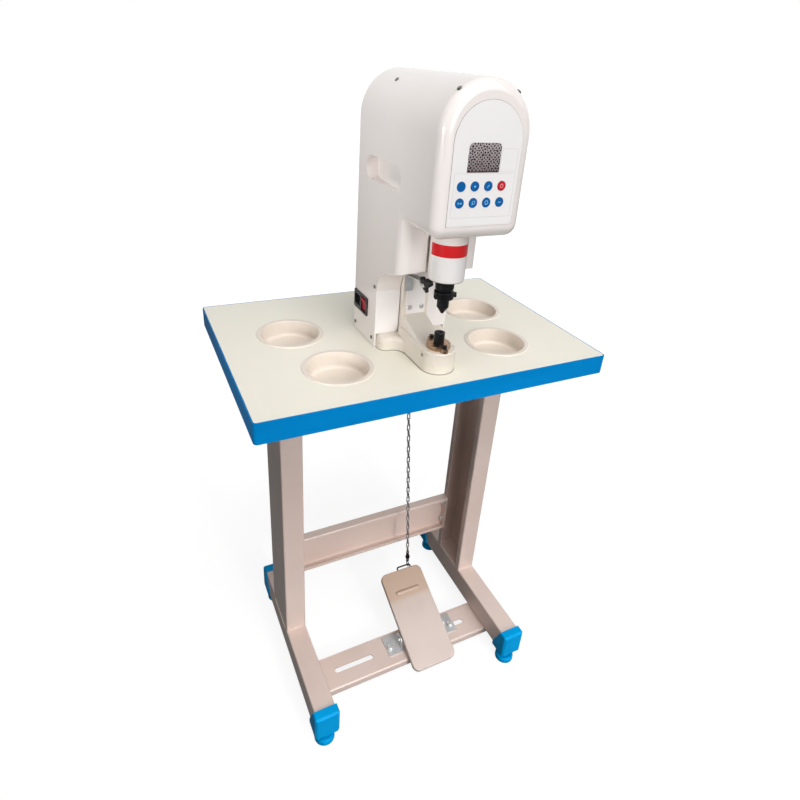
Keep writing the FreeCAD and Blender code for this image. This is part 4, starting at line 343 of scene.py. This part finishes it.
# ------------------------------------------------------------------ pedal
# One pressed sheet with its rim turned down and a rib across it, under the same powder
# coat as the stand.  Here the coat is painted darker than on the columns, as painted shade.
shaded_pedal_coat = surface("powder_coat_painted_shade", "#CDBDB5", "#C4B3A9", 90.0, 1.6, 0.016, 0.4, 0.06,
                     coat=0.2, specular=0.6)
plate = dress("pedal", shaded_pedal_coat, edge_mm=0.3, smooth=40.0)
pedal_tilt = math.radians(23.0)
pedal_rear = 0.133
pedal_body = frame["nodes"]["pedal"]["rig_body"]


def middle(node):
    """Centre of a solid's box."""
    low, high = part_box(node)
    return (low + high) / 2.0


pivot = middle("pedal_pin")


def along_pedal(point):
    """Distance forward of the pivot, along the plate."""
    return ((point.y - pivot.y) * math.cos(pedal_tilt)
            + (point.z - pivot.z) * math.sin(pedal_tilt))


# The wire bail at its far edge is bent from blackened spring steel.  It is cut from the
# plate, and both cuts are closed.
bail_steel = surface("spring_steel_black", "#3A3735", "#2C2A28", 8.0, 0.8, 0.01, 0.35, 0.05,
                     metallic=0.6)
pick(plate, lambda face: along_pedal(face.center) > pedal_rear + 0.0001)
bpy.ops.mesh.separate(type="SELECTED")
bpy.ops.object.mode_set(mode="OBJECT")
bail = [piece for piece in bpy.context.selected_objects if piece != plate][0]
for cut_piece in (plate, bail):
    alone(cut_piece)
    bpy.ops.object.mode_set(mode="EDIT")
    bpy.ops.mesh.select_mode(type="EDGE")
    bpy.ops.mesh.select_all(action="DESELECT")
    bpy.ops.mesh.select_non_manifold()
    bpy.ops.mesh.fill()
    bpy.ops.mesh.select_all(action="SELECT")
    bpy.ops.mesh.normals_make_consistent(inside=False)
    bpy.ops.object.mode_set(mode="OBJECT")
attach(bail, "pedal_bail", bail_steel, pedal_body)
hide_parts("pedal")

# The pressed rib across the plate stands well proud, with full round ends.
rib_forward, rib_up = 0.0845, 0.017       # from the pivot, along and square to the plate
rib_half, rib_radius, rib_rise = 0.029, 0.0046, 0.0034
bpy.ops.object.select_all(action="DESELECT")
bpy.ops.mesh.primitive_uv_sphere_add(segments=32, ring_count=16, radius=1.0,
                                     location=(0.0, 0.0, 0.0))
rib = bpy.context.object
for point in rib.data.vertices:
    end = rib_half - rib_radius if point.co.x > 0.0 else rib_radius - rib_half
    point.co = Vector((point.co.x * rib_radius + end, point.co.y * rib_radius,
                       point.co.z * rib_rise))
rib.location = Vector((middle("pedal").x,
                       pivot.y + rib_forward * math.cos(pedal_tilt)
                       - rib_up * math.sin(pedal_tilt),
                       pivot.z + rib_forward * math.sin(pedal_tilt)
                       + rib_up * math.cos(pedal_tilt)))
rib.rotation_euler = (pedal_tilt, 0.0, 0.0)
settle()
bpy.ops.object.shade_smooth()
# The rib takes the pedal's coat, which is painted darker as painted shade.
attach(rib, "pedal_rib", shaded_pedal_coat, pedal_body)


def object_place(tree):
    """Place on the piece, as its finish already reads it."""
    return [node for node in tree.nodes if node.type == "TEX_COORD"][0].outputs["Object"]


def over_print(material, masks, ink):
    """Lays a colour over the base colour wherever a mask is one."""
    tree = material.node_tree
    shader = tree.nodes["Principled BSDF"]
    total = masks[0]
    for mask in masks[1:]:
        total = add(tree, "Math", {0: total, 1: mask}, operation="MAXIMUM").outputs["Value"]
    under = shader.inputs["Base Color"].links[0].from_socket
    # For colours, the node's factor is input 0, its two colours 6 and 7, its result 2.
    mix = add(tree, "Mix", data_type="RGBA")
    tree.links.new(total, mix.inputs[0])
    tree.links.new(under, mix.inputs[6])
    mix.inputs[7].default_value = linear(ink)
    tree.links.new(mix.outputs[2], shader.inputs["Base Color"])


# From just before the rib to the far edge the coat is painted a darker tan: painted
# shade, where the table above shades the pedal.
tree = shaded_pedal_coat.node_tree
ahead = Vector((0.0, math.cos(pedal_tilt), math.sin(pedal_tilt)))
forward = add(tree, "VectorMath", {0: object_place(tree), 1: ahead}, operation="DOT_PRODUCT")
shade_limit, shade_fade = 0.071, 0.007
far_painted_shade = add(tree, "MapRange", {"Value": forward.outputs["Value"],
                                "From Min": pivot.dot(ahead) + shade_limit - shade_fade,
                                "From Max": pivot.dot(ahead) + shade_limit + shade_fade},
             interpolation_type="SMOOTHSTEP")
over_print(shaded_pedal_coat, [far_painted_shade.outputs["Result"]], "#BFA592")

# ------------------------------------------------------------------ chain
# Welded oval links of zinc plated wire, bright with dull spots, run from the trip lever
# to the pedal's bail.  A blackened swivel joins the last link to the ring.
chain_zinc = surface("zinc_plated_wire", "#BFC0C2", "#8F9194", 9.0, 1.0, 0.02, 0.3, 0.08,
                     metallic=1.0)
dress("chain", chain_zinc, smooth=60.0)
dress("top_shackle", chain_zinc, smooth=60.0)
black_oxide = surface("black_oxide_steel", "#1E1E21", "#121214", 12.0, 1.0, 0.015, 0.36, 0.07,
                      metallic=0.7)
dress("chain_hook", black_oxide, smooth=50.0)

# ------------------------------------------------------------------ casting
# Cast iron C-frame: sand cast, filled, and brushed with off-white enamel, so that the
# skin is softly uneven and the edges are full.
enamel = surface("enamel_on_cast_iron", "#E7DFD5", "#DFD6C9", 70.0, 5.0, 0.04, 0.3, 0.04,
                 coat=0.3)
foot = merged_copy("casting")
dress("casting", enamel, edge_mm=0.8, smooth=38.0)

# A fine dark, matt bead round the casting's foot, where it meets the board, is a painted
# contact shadow.  Its course is the rim of the casting's underside, raised into a low wall.
contact_shadow_finish = surface("painted_contact_shadow", "#857D6E", "#746D5F", 20.0, 0.8, 0.02, 0.6, 0.05)
shadow_bead_height, shadow_bead_wall = 0.0007, 0.0006
foot_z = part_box("table_top")[1].z
pick(foot, lambda face: face.normal.z > -0.99 or abs(face.center.z - foot_z) > 0.0001)
bpy.ops.mesh.delete(type="FACE")
bpy.ops.mesh.select_all(action="SELECT")
bpy.ops.mesh.region_to_loop()
bpy.ops.mesh.extrude_edges_move(TRANSFORM_OT_translate={"value": (0.0, 0.0, shadow_bead_height)})
bpy.ops.object.mode_set(mode="OBJECT")
pick(foot, lambda face: abs(face.normal.z) > 0.5)
bpy.ops.mesh.delete(type="FACE")
bpy.ops.mesh.select_all(action="SELECT")
bpy.ops.mesh.normals_make_consistent(inside=False)
bpy.ops.mesh.separate(type="LOOSE")
bpy.ops.object.mode_set(mode="OBJECT")
bead, *spares = sorted(bpy.context.selected_objects, key=lambda piece: -piece.dimensions.y)
for spare in spares:
    bpy.data.objects.remove(spare, do_unlink=True)
modify(bead, "SOLIDIFY", thickness=shadow_bead_wall, offset=1.0)
smooth_below(40.0)
attach(bead, "casting_foot_painted_shadow", contact_shadow_finish, "stand")

# A set screw with a deep hollow in its end fills the hole in the nose's side.
# Its black finish is painted shade, standing in for the dark of the hole.
set_screw_radius, set_screw_length, set_screw_hollow = 0.0028, 0.005, 0.0034
bpy.ops.object.select_all(action="DESELECT")
bpy.ops.mesh.primitive_cylinder_add(vertices=28, radius=set_screw_radius,
                                    depth=set_screw_length, location=(-0.0252, -0.123, 0.745),
                                    rotation=(0.0, math.radians(90.0), 0.0))
set_screw = bpy.context.object
settle()
pick(set_screw, lambda face: face.normal.x < -0.9)
bpy.ops.mesh.inset(thickness=0.0003)
bpy.ops.mesh.inset(thickness=0.0004)
bpy.ops.transform.translate(value=(set_screw_hollow, 0.0, 0.0))
bpy.ops.object.mode_set(mode="OBJECT")
smooth_below(30.0)
attach(set_screw, "nose_set_screw", black_oxide, "stand")

# ------------------------------------------------------------------ hood and covers
# Moulded shell in gloss white.  The skin is bright, with a very slight orange peel.  The
# covers under it are folded sheet, in a white paint that shines a little less.
hood_gloss = surface("moulded_gloss_white", "#F2EBE7", "#EFE7E3", 260.0, 7.0, 0.006, 0.2, 0.015,
                     coat=0.4)
dress("hood", hood_gloss, edge_mm=0.5, smooth=38.0)
cover_paint = surface("sheet_cover_white", "#F4F0EE", "#F0EBE9", 120.0, 2.0, 0.008, 0.3, 0.03)
dress("lower_front_cover", cover_paint, edge_mm=0.3)
dress("rear_panel", cover_paint, edge_mm=0.3)

# Small pan screws hold the covers.  They are blued, and look dark in their holes.
blued_steel = surface("blued_screw_steel", "#6C6A69", "#565452", 4.0, 0.8, 0.01, 0.34, 0.06,
                      metallic=1.0)
dress("cover_screws", blued_steel, edge_mm=0.15)

# A plate closes the column above the nose.  It is painted with the covers, and two
# bright slotted screws hold it.
plate_set = dress("column_plate", cover_paint, edge_mm=0.2)
alone(plate_set)
bpy.ops.object.mode_set(mode="EDIT")
bpy.ops.mesh.select_all(action="SELECT")
bpy.ops.mesh.separate(type="LOOSE")
bpy.ops.object.mode_set(mode="OBJECT")
loose = sorted(bpy.context.selected_objects, key=lambda piece: -piece.dimensions.z)
names = ("column_plate_finished", "plate_screw_1", "plate_screw_2")
for piece, name, finish in zip(loose, names, (cover_paint, ground_steel, ground_steel)):
    attach(piece, name, finish, "stand")
    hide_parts("column_plate")

# ------------------------------------------------------------------ mains switch
# Moulded black nylon bezel, matt, with a three-pin inlet beside a plain rocker.  The
# rocker is dished, in clear red polycarbonate that looks deep and a little cloudy.
black_nylon = surface("nylon_black", "#1D1D20", "#151517", 20.0, 1.2, 0.02, 0.4, 0.05)
dress("switch_module", black_nylon, edge_mm=0.3)
red_lens = surface("polycarbonate_red", "#A00D23", "#8A0A1C", 18.0, 1.5, 0.006, 0.42, 0.04,
                   specular=0.2)
dress("rocker", red_lens, edge_mm=0.3)

# ------------------------------------------------------------------ control panel
# White plate with a satin film over it, a display behind a dark filter, and eight
# round silicone keys with domed caps and a soft sheen.
panel_film = surface("polyester_film_white", "#F5F3F2", "#F0EDEC", 200.0, 1.4, 0.006, 0.3, 0.03)
dress("front_panel", panel_film, edge_mm=0.2)
key_blue = surface("silicone_key_blue", "#0B65AC", "#095C9F", 9.0, 0.8, 0.008, 0.4, 0.04,
                   specular=0.12)
key_red = surface("silicone_key_red", "#CE2233", "#BF1B2B", 9.0, 0.8, 0.008, 0.36, 0.04,
                  specular=0.25)


def flat_place(tree):
    """Place on the panel, with the depth taken out."""
    axes = add(tree, "SeparateXYZ", {0: object_place(tree)})
    return add(tree, "CombineXYZ", {"X": axes.outputs["X"],
                                    "Z": axes.outputs["Z"]}).outputs["Vector"]


def print_ring(tree, where, x, z, radius, width):
    """One inside a printed ring, or inside a dot when the radius is nought."""
    far = add(tree, "VectorMath", {0: where, 1: (x, 0.0, z)}, operation="DISTANCE")
    off = add(tree, "Math", {0: far.outputs["Value"], 1: radius}, operation="SUBTRACT")
    size = add(tree, "Math", {0: off.outputs["Value"]}, operation="ABSOLUTE")
    return add(tree, "Math", {0: size.outputs["Value"], 1: width / 2.0},
               operation="LESS_THAN").outputs["Value"]


def print_stroke(tree, where, x, z, length, width, tilt=0.0):
    """One inside a printed stroke."""
    shift = add(tree, "VectorMath", {0: where, 1: (x, 0.0, z)}, operation="SUBTRACT")
    turn = add(tree, "VectorRotate", {"Vector": shift.outputs["Vector"],
                                      "Angle": math.radians(tilt)}, rotation_type="Y_AXIS")
    size = add(tree, "VectorMath", {0: turn.outputs["Vector"]}, operation="ABSOLUTE")
    axes = add(tree, "SeparateXYZ", {0: size.outputs["Vector"]})
    along = add(tree, "Math", {0: axes.outputs["X"], 1: length / 2.0}, operation="LESS_THAN")
    across = add(tree, "Math", {0: axes.outputs["Z"], 1: width / 2.0}, operation="LESS_THAN")
    return add(tree, "Math", {0: along.outputs["Value"], 1: across.outputs["Value"]},
               operation="MULTIPLY").outputs["Value"]


# Each key but one carries a plain printed sign, and all have a darker ring at the foot of
# the dome.
key_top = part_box("key_upper_1")[1].z
key_1, key_2, key_3, key_4 = key_x = [middle("key_upper_%d" % n).x for n in (1, 2, 3, 4)]
upper, lower = row_z = [middle("key_%s_1" % row).z for row in ("upper", "lower")]
rim_radius, rim_width = 0.0059, 0.0013
tree = key_blue.node_tree
spot = flat_place(tree)
over_print(key_blue, [print_ring(tree, spot, x, z, rim_radius, rim_width)
                      for x in key_x for z in row_z], "#0A4F8C")
dot = [print_ring(tree, spot, key_2, upper, 0.0, 0.0026)]
pen_stroke = [print_stroke(tree, spot, key_3, upper, 0.0044, 0.0009, 50.0)]
to_and_fro = [print_stroke(tree, spot, key_1, lower, 0.0056, 0.0007),
              print_stroke(tree, spot, key_1 - 0.0022, lower, 0.001, 0.0026),
              print_stroke(tree, spot, key_1 + 0.0022, lower, 0.001, 0.0026)]
ring_and_stem = [print_ring(tree, spot, key_2 + 0.0006, lower + 0.0005, 0.0019, 0.0007),
                 print_stroke(tree, spot, key_2 - 0.0014, lower - 0.001, 0.0008, 0.0034)]
ring = [print_ring(tree, spot, key_3, lower, 0.0022, 0.0009)]
bar = [print_stroke(tree, spot, key_4, lower, 0.0042, 0.0009)]
over_print(key_blue, dot + pen_stroke + to_and_fro + ring_and_stem + ring + bar, "#8CC6E8")
tree = key_red.node_tree
spot = flat_place(tree)
over_print(key_red, [print_ring(tree, spot, key_4, upper, rim_radius, rim_width)], "#96101F")
broken_ring = [print_ring(tree, spot, key_4, upper, 0.0021, 0.0007),
               print_stroke(tree, spot, key_4, upper + 0.002, 0.0007, 0.0022)]
over_print(key_red, broken_ring, "#F0A4A8")
for row in ("upper", "lower"):
    for column in (1, 2, 3, 4):
        part = "key_%s_%d" % (row, column)
        dress(part, key_red if part == "key_upper_4" else key_blue, edge_mm=0.15)


def display_filter():
    """Dark filter under a protective film with a net of pale rings.

    The rings are drawn about 5 mm apart, coarser than a real film's, so that they show.
    """
    rings_per_metre, wobbles_per_metre, wobble = 195.0, 420.0, 0.0016
    corner_radius, foot_line = 0.006, 0.0015
    material = surface("display_filter_netted", "#2B1E23", "#1C1317", 14.0, 1.0, 0.004, 0.34,
                       0.04, specular=0.2)
    tree = material.node_tree
    place = object_place(tree)
    low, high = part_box("display_window")
    stray = add(tree, "TexNoise", {"Vector": place, "Scale": wobbles_per_metre, "Detail": 2.0})
    push = add(tree, "VectorMath", {0: stray.outputs["Color"], "Scale": wobble},
               operation="SCALE")
    there = add(tree, "VectorMath", {0: place, 1: push.outputs["Vector"]}, operation="ADD")
    turned = add(tree, "SeparateXYZ", {0: there.outputs["Vector"]})
    flat = add(tree, "CombineXYZ", {"X": turned.outputs["X"], "Y": turned.outputs["Z"]})
    net = add(tree, "TexVoronoi", {"Vector": flat.outputs["Vector"], "Scale": rings_per_metre,
                                   "Randomness": 0.3}, voronoi_dimensions="2D")
    inner = add(tree, "MapRange", {"Value": net.outputs["Distance"], "From Min": 0.2,
                                   "From Max": 0.34, "To Min": 0.0, "To Max": 1.0})
    outer = add(tree, "MapRange", {"Value": net.outputs["Distance"], "From Min": 0.42,
                                   "From Max": 0.56, "To Min": 1.0, "To Max": 0.0})
    ring = add(tree, "Math", {0: inner.outputs["Result"], 1: outer.outputs["Result"]},
               operation="MULTIPLY")
    axes = add(tree, "SeparateXYZ", {0: place})
    rise = add(tree, "MapRange", {"Value": axes.outputs["Z"], "From Min": low.z + 0.002,
                                  "From Max": high.z, "To Min": 0.38, "To Max": 0.85})
    veil = add(tree, "Math", {0: ring.outputs["Value"], 1: rise.outputs["Result"]},
               operation="MULTIPLY")
    film = add(tree, "Math", {0: axes.outputs["Z"], 1: low.z + foot_line},
               operation="GREATER_THAN")
    shown = add(tree, "Math", {0: veil.outputs["Value"], 1: film.outputs["Value"]},
                operation="MULTIPLY")
    over_print(material, [shown.outputs["Value"]], "#D8CCCE")

    # A line of the red filter shows at the foot, where the film ends.
    line = add(tree, "Math", {0: 1.0, 1: film.outputs["Value"]}, operation="SUBTRACT")
    over_print(material, [line.outputs["Value"]], "#4E1220")

    # The white film over the panel rounds the two upper corners of the window.
    shift = add(tree, "Math", {0: axes.outputs["X"], 1: (low.x + high.x) / 2.0},
                operation="SUBTRACT")
    aside = add(tree, "Math", {0: shift.outputs["Value"]}, operation="ABSOLUTE")
    past = add(tree, "Math", {0: aside.outputs["Value"],
                              1: (high.x - low.x) / 2.0 - corner_radius}, operation="SUBTRACT")
    above = add(tree, "Math", {0: axes.outputs["Z"], 1: high.z - corner_radius},
                operation="SUBTRACT")
    right = add(tree, "Math", {0: past.outputs["Value"], 1: 0.0}, operation="MAXIMUM")
    over = add(tree, "Math", {0: above.outputs["Value"], 1: 0.0}, operation="MAXIMUM")
    corner = add(tree, "CombineXYZ", {"X": right.outputs["Value"], "Z": over.outputs["Value"]})
    reach = add(tree, "VectorMath", {0: corner.outputs["Vector"]}, operation="LENGTH")
    outside = add(tree, "Math", {0: reach.outputs["Value"], 1: corner_radius},
                  operation="GREATER_THAN")
    over_print(material, [outside.outputs["Value"]], "#EFEBEA")
    return material


dress("display_window", display_filter(), edge_mm=0.15)

# A clear film guards the keys, and another the display.  Their cut edges show as fine
# grey lines.
film_line = surface("film_cut_edge", "#DAD4D2", "#D2CCCA", 40.0, 1.0, 0.004, 0.3, 0.03)
panel_low, panel_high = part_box("front_panel")
panel_half = (panel_high.x - panel_low.x) / 2.0
film_inset, film_width, film_thick, film_sunk = 0.0045, 0.0004, 0.00012, 0.00002


def film_edge(name, left, right, bottom, top):
    """Raised edge of a clear film stuck on the panel, as a thin frame."""
    bpy.ops.object.select_all(action="DESELECT")
    bpy.ops.mesh.primitive_plane_add(size=1.0, location=((left + right) / 2.0,
                                                         panel_low.y - film_sunk,
                                                         (bottom + top) / 2.0),
                                     rotation=(math.radians(90.0), 0.0, 0.0))
    film = bpy.context.object
    film.scale = (right - left, top - bottom, 1.0)
    settle()
    bpy.ops.object.mode_set(mode="EDIT")
    bpy.ops.mesh.select_all(action="SELECT")
    bpy.ops.mesh.inset(thickness=film_width)
    bpy.ops.mesh.delete(type="FACE")
    bpy.ops.mesh.select_all(action="SELECT")
    bpy.ops.mesh.extrude_region_move(TRANSFORM_OT_translate={"value": (0.0, -film_thick, 0.0)})
    bpy.ops.mesh.select_all(action="SELECT")
    bpy.ops.mesh.normals_make_consistent(inside=False)
    bpy.ops.object.mode_set(mode="OBJECT")
    attach(film, name, film_line, "stand")


window_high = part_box("display_window")[1]
film_edge("film_edge_keys", panel_low.x + film_inset, panel_high.x - film_inset,
          panel_low.z + 0.0105, key_top + 0.0085)
film_edge("film_edge_display", window_high.x + 0.0012, panel_high.x - film_inset,
          key_top + 0.0105, window_high.z - 0.0065)

# A thin grey matt strip lies in the joint round the panel, over the arch and down both
# sides: painted shade in the groove.
groove_shade_finish = surface("painted_groove_shade_grey", "#9B9491", "#8E8784", 30.0, 0.8, 0.01, 0.5, 0.05)
shade_line_radius = 0.0004
arch_z = panel_high.z - panel_half
bpy.ops.object.select_all(action="DESELECT")
bpy.ops.mesh.primitive_torus_add(major_segments=128, minor_segments=8,
                                 major_radius=panel_half + shade_line_radius / 2.0,
                                 minor_radius=shade_line_radius,
                                 location=(middle("front_panel").x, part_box("hood")[0].y, arch_z),
                                 rotation=(math.radians(90.0), 0.0, 0.0))
groove_shade_line = bpy.context.object
settle()
pick(groove_shade_line, lambda face: face.center.z < arch_z)
bpy.ops.mesh.delete(type="FACE")
bpy.ops.mesh.select_mode(type="EDGE")
bpy.ops.mesh.select_all(action="DESELECT")
bpy.ops.mesh.select_non_manifold()
bpy.ops.mesh.extrude_region_move(
    TRANSFORM_OT_translate={"value": (0.0, 0.0, panel_low.z - arch_z)})
bpy.ops.mesh.fill()
bpy.ops.mesh.select_all(action="SELECT")
bpy.ops.mesh.normals_make_consistent(inside=False)
bpy.ops.object.mode_set(mode="OBJECT")
smooth_below(50.0)
attach(groove_shade_line, "panel_groove_shade", groove_shade_finish, "stand")

# The circuit board behind the panel is glass fibre under a green lacquer.
board_lacquer = surface("circuit_board_green", "#2F6140", "#285237", 16.0, 0.8, 0.01, 0.35, 0.05)
dress("control_board", board_lacquer)

# ------------------------------------------------------------------ ram sleeve
# White enamelled guard tube over the ram boss.  A plain paper label with a clear coat
# wraps its front: white below, and a red band along its top.
dress("ram_sleeve", hood_gloss, edge_mm=0.3)
label_paper = surface("label_paper_white", "#F5F2F0", "#F1EEEB", 60.0, 1.0, 0.004, 0.25, 0.03,
                      coat=0.3)
label_red = surface("label_ink_red", "#DC1B22", "#D4161D", 60.0, 1.0, 0.004, 0.28, 0.03,
                    coat=0.3, specular=0.3)
sleeve_low, sleeve_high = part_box("ram_sleeve")
sleeve_middle = middle("ram_sleeve")
sleeve_radius = (sleeve_high.x - sleeve_low.x) / 2.0
band_low, band_height, label_half_angle = 0.905, 0.0175, 92.0


def wrap(name, low_z, high_z, proud_mm, material):
    """Thin label wrapped round the front of the sleeve."""
    bpy.ops.object.select_all(action="DESELECT")
    bpy.ops.mesh.primitive_cylinder_add(vertices=144, radius=sleeve_radius + 0.00002,
                                        depth=high_z - low_z, end_fill_type="NOTHING",
                                        location=(sleeve_middle.x, sleeve_middle.y,
                                                  (low_z + high_z) / 2.0))
    label = bpy.context.object
    settle()
    pick(label, lambda face: label_half_angle < abs(math.degrees(math.atan2(
        face.center.x - sleeve_middle.x, sleeve_middle.y - face.center.y))))
    bpy.ops.mesh.delete(type="FACE")
    bpy.ops.object.mode_set(mode="OBJECT")
    modify(label, "SOLIDIFY", thickness=proud_mm / 1000.0, offset=1.0)
    smooth_below(30.0)
    attach(label, name, material, "stand")


wrap("sleeve_label", sleeve_low.z + 0.003, band_low, 0.1, label_paper)
wrap("sleeve_label_band", band_low, band_low + band_height, 0.12, label_red)

# ------------------------------------------------------------------ tools and lamp
# Blackened holder, punch and die, deep black with a low shine, and the motor's case.  A
# turned brass ring, warm and finely grooved, clamps the die.
for part in ("tool_holder", "upper_die", "lower_die", "die_screws", "motor"):
    dress(part, black_oxide, edge_mm=0.25, smooth=36.0)
brass = surface("turned_brass", "#B2957B", "#9C7F66", 12.0, 1.0, 0.012, 0.3, 0.06,
                metallic=1.0)
dress("die_ring", brass, edge_mm=0.5, smooth=36.0)
dress("aiming_lamp", black_nylon, edge_mm=0.2)
dress("trip_switch", black_nylon, edge_mm=0.2)

# A six-sided nylon gland nut closes the top of the lamp.
lamp_top, lamp_tip = Vector((-0.0233, -0.113, 0.860)), Vector((-0.0133, -0.113, 0.836))
lamp_run = (lamp_tip - lamp_top).normalized()
bpy.ops.object.select_all(action="DESELECT")
bpy.ops.mesh.primitive_cylinder_add(vertices=6, radius=0.0078, depth=0.0078,
                                    location=lamp_top + lamp_run * 0.0026,
                                    rotation=lamp_run.to_track_quat("Z", "Y").to_euler())
nut = bpy.context.object
settle()
modify(nut, "BEVEL", width=0.0006, segments=2)
smooth_below(30.0)
attach(nut, "lamp_gland_nut", black_nylon, "stand")

# A strip of dark, matt rubber edges the foot of the sleeve.  It is flat underneath.
edge_rubber = surface("edge_rubber_dark", "#3A3634", "#2E2B29", 15.0, 0.8, 0.01, 0.5, 0.06)
strip_radius, strip_inset, strip_below = 0.0007, 0.001, 0.0004
bpy.ops.object.select_all(action="DESELECT")
bpy.ops.mesh.primitive_torus_add(major_segments=128, minor_segments=10,
                                 major_radius=sleeve_radius - strip_inset,
                                 minor_radius=strip_radius,
                                 location=(sleeve_middle.x, sleeve_middle.y, sleeve_low.z))
strip = bpy.context.object
settle()
for point in strip.data.vertices:
    point.co.z = max(point.co.z, sleeve_low.z - strip_below)
bpy.ops.object.shade_smooth()
attach(strip, "sleeve_edge_strip", edge_rubber, "stand")

# The drive belt, behind the closed covers, is matt black rubber.
belt_rubber = surface("belt_rubber_black", "#26262A", "#1C1C1F", 20.0, 1.2, 0.03, 0.6, 0.06)
dress("drive_belt", belt_rubber)

# ------------------------------------------------------------------ studio
# Pale floor that keeps a soft shadow, and a white surround.  A broad lamp hangs high
# over the front, with weaker ones before, on the right and low behind.
white = linear("#FFFFFF")
bpy.ops.object.select_all(action="DESELECT")
bpy.ops.mesh.primitive_plane_add(size=60.0, location=(0.0, 0.0, -0.0005))
floor = bpy.context.object
floor.name = "floor"
pale = bpy.data.materials.new("pale_floor")
pale.use_nodes = True
tree = pale.node_tree
base = tree.nodes["Principled BSDF"]
base.inputs["Base Color"].default_value = linear("#F4F4F4")
base.inputs["Roughness"].default_value = 0.9
glow = add(tree, "Emission", {"Color": white, "Strength": 1.09})
dim = add(tree, "BsdfDiffuse", {"Color": linear("#646464")})
rays = add(tree, "LightPath")
place = add(tree, "TexCoord")
spread = add(tree, "VectorMath", {0: place.outputs["Object"]}, operation="LENGTH")

# In reflections the floor is dim under the machine and grows white towards the horizon.
shine = add(tree, "MapRange", {"Value": spread.outputs["Value"], "From Min": 1.0,
                               "From Max": 14.0, "To Min": 0.12, "To Max": 1.0},
            interpolation_type="SMOOTHSTEP")
mirrored = add(tree, "Math", {0: rays.outputs["Is Glossy Ray"], 1: shine.outputs["Result"]},
               operation="MULTIPLY")
either = add(tree, "Math", {0: rays.outputs["Is Camera Ray"],
                            1: mirrored.outputs["Value"]}, operation="MAXIMUM")
fade = add(tree, "MapRange", {"Value": spread.outputs["Value"], "From Min": 0.6,
                              "From Max": 2.2, "To Min": 0.8, "To Max": 1.0})
lit = add(tree, "MixShader", {0: fade.outputs["Result"], 1: base.outputs["BSDF"],
                              2: glow.outputs["Emission"]})
blend = add(tree, "MixShader", {0: either.outputs["Value"], 1: dim.outputs["BSDF"],
                                2: lit.outputs["Shader"]})
tree.links.new(blend.outputs["Shader"], tree.nodes["Material Output"].inputs["Surface"])
floor.data.materials.append(pale)
floor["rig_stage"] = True

# The surround is white to the camera and in reflections, and lights the machine weakly.
world = bpy.data.worlds.new("studio")
bpy.context.scene.world = world
world.use_nodes = True
tree = world.node_tree
sky = tree.nodes["Background"]
sky.inputs["Color"].default_value = white
rays = add(tree, "LightPath")
either = add(tree, "Math", {0: rays.outputs["Is Camera Ray"],
                            1: rays.outputs["Is Glossy Ray"]}, operation="MAXIMUM")
level = add(tree, "MapRange", {"Value": either.outputs["Value"], "To Min": 0.09,
                               "To Max": 1.0})
tree.links.new(level.outputs["Result"], sky.inputs["Strength"])


def lamp(name, kind, place, target, power, **settings):
    """Lamp that faces a point."""
    bpy.ops.object.select_all(action="DESELECT")
    bpy.ops.object.light_add(type=kind, location=place)
    light = bpy.context.object
    light.name = name
    light.data.energy = power
    for setting, value in settings.items():
        setattr(light.data, setting, value)
    aim = Vector(target) - Vector(place)
    light.rotation_euler = aim.to_track_quat("-Z", "Y").to_euler()


lamp("top_lamp", "AREA", (-0.4, -2.4, 7.4), (0.0, 0.0, 0.7), 303.0, size=4.8)
lamp("front_lamp", "AREA", (0.2, -4.2, 2.0), (0.0, 0.0, 0.6), 67.0, size=2.6)
lamp("right_lamp", "AREA", (1.7, -3.2, 2.8), (0.0, 0.0, 0.7), 40.0, size=2.4)
lamp("back_lamp", "AREA", (0.4, 4.2, 0.5), (0.0, 0.0, 0.6), 62.0, size=0.8)

# One narrow lamp from the left reaches the head alone, and one in front the lower stand.
soft_cone = {"spot_blend": 0.5, "shadow_soft_size": 0.25}
lamp("side_lamp", "SPOT", (-2.1, -0.9, 1.15), (0.0, 0.0, 1.0), 122.0,
     spot_size=math.radians(17.5), **soft_cone)
lamp("stand_lamp", "SPOT", (0.35, -3.6, 2.2), (0.0, 0.0, 0.2), 215.0,
     spot_size=math.radians(13.5), **soft_cone)

# ------------------------------------------------------------------ camera
# Wide lens close to the machine, from the front left and above, turned a little about
# its own axis.
bpy.ops.object.select_all(action="DESELECT")
bpy.ops.object.camera_add(location=(-0.41774, -0.79786, 1.1435),
                          rotation=tuple(math.radians(a) for a in (62.9329, -4.0484, -26.2543)))
camera = bpy.context.object
camera.data.lens = 25.69
camera.data.sensor_width = 36.0
camera.data.shift_x = -0.00854
camera.data.shift_y = -0.05899
camera.data.clip_start = 0.02
camera.data.clip_end = 60.0
bpy.context.scene.camera = camera
bpy.context.scene.view_settings.view_transform = "Standard"

low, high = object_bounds()
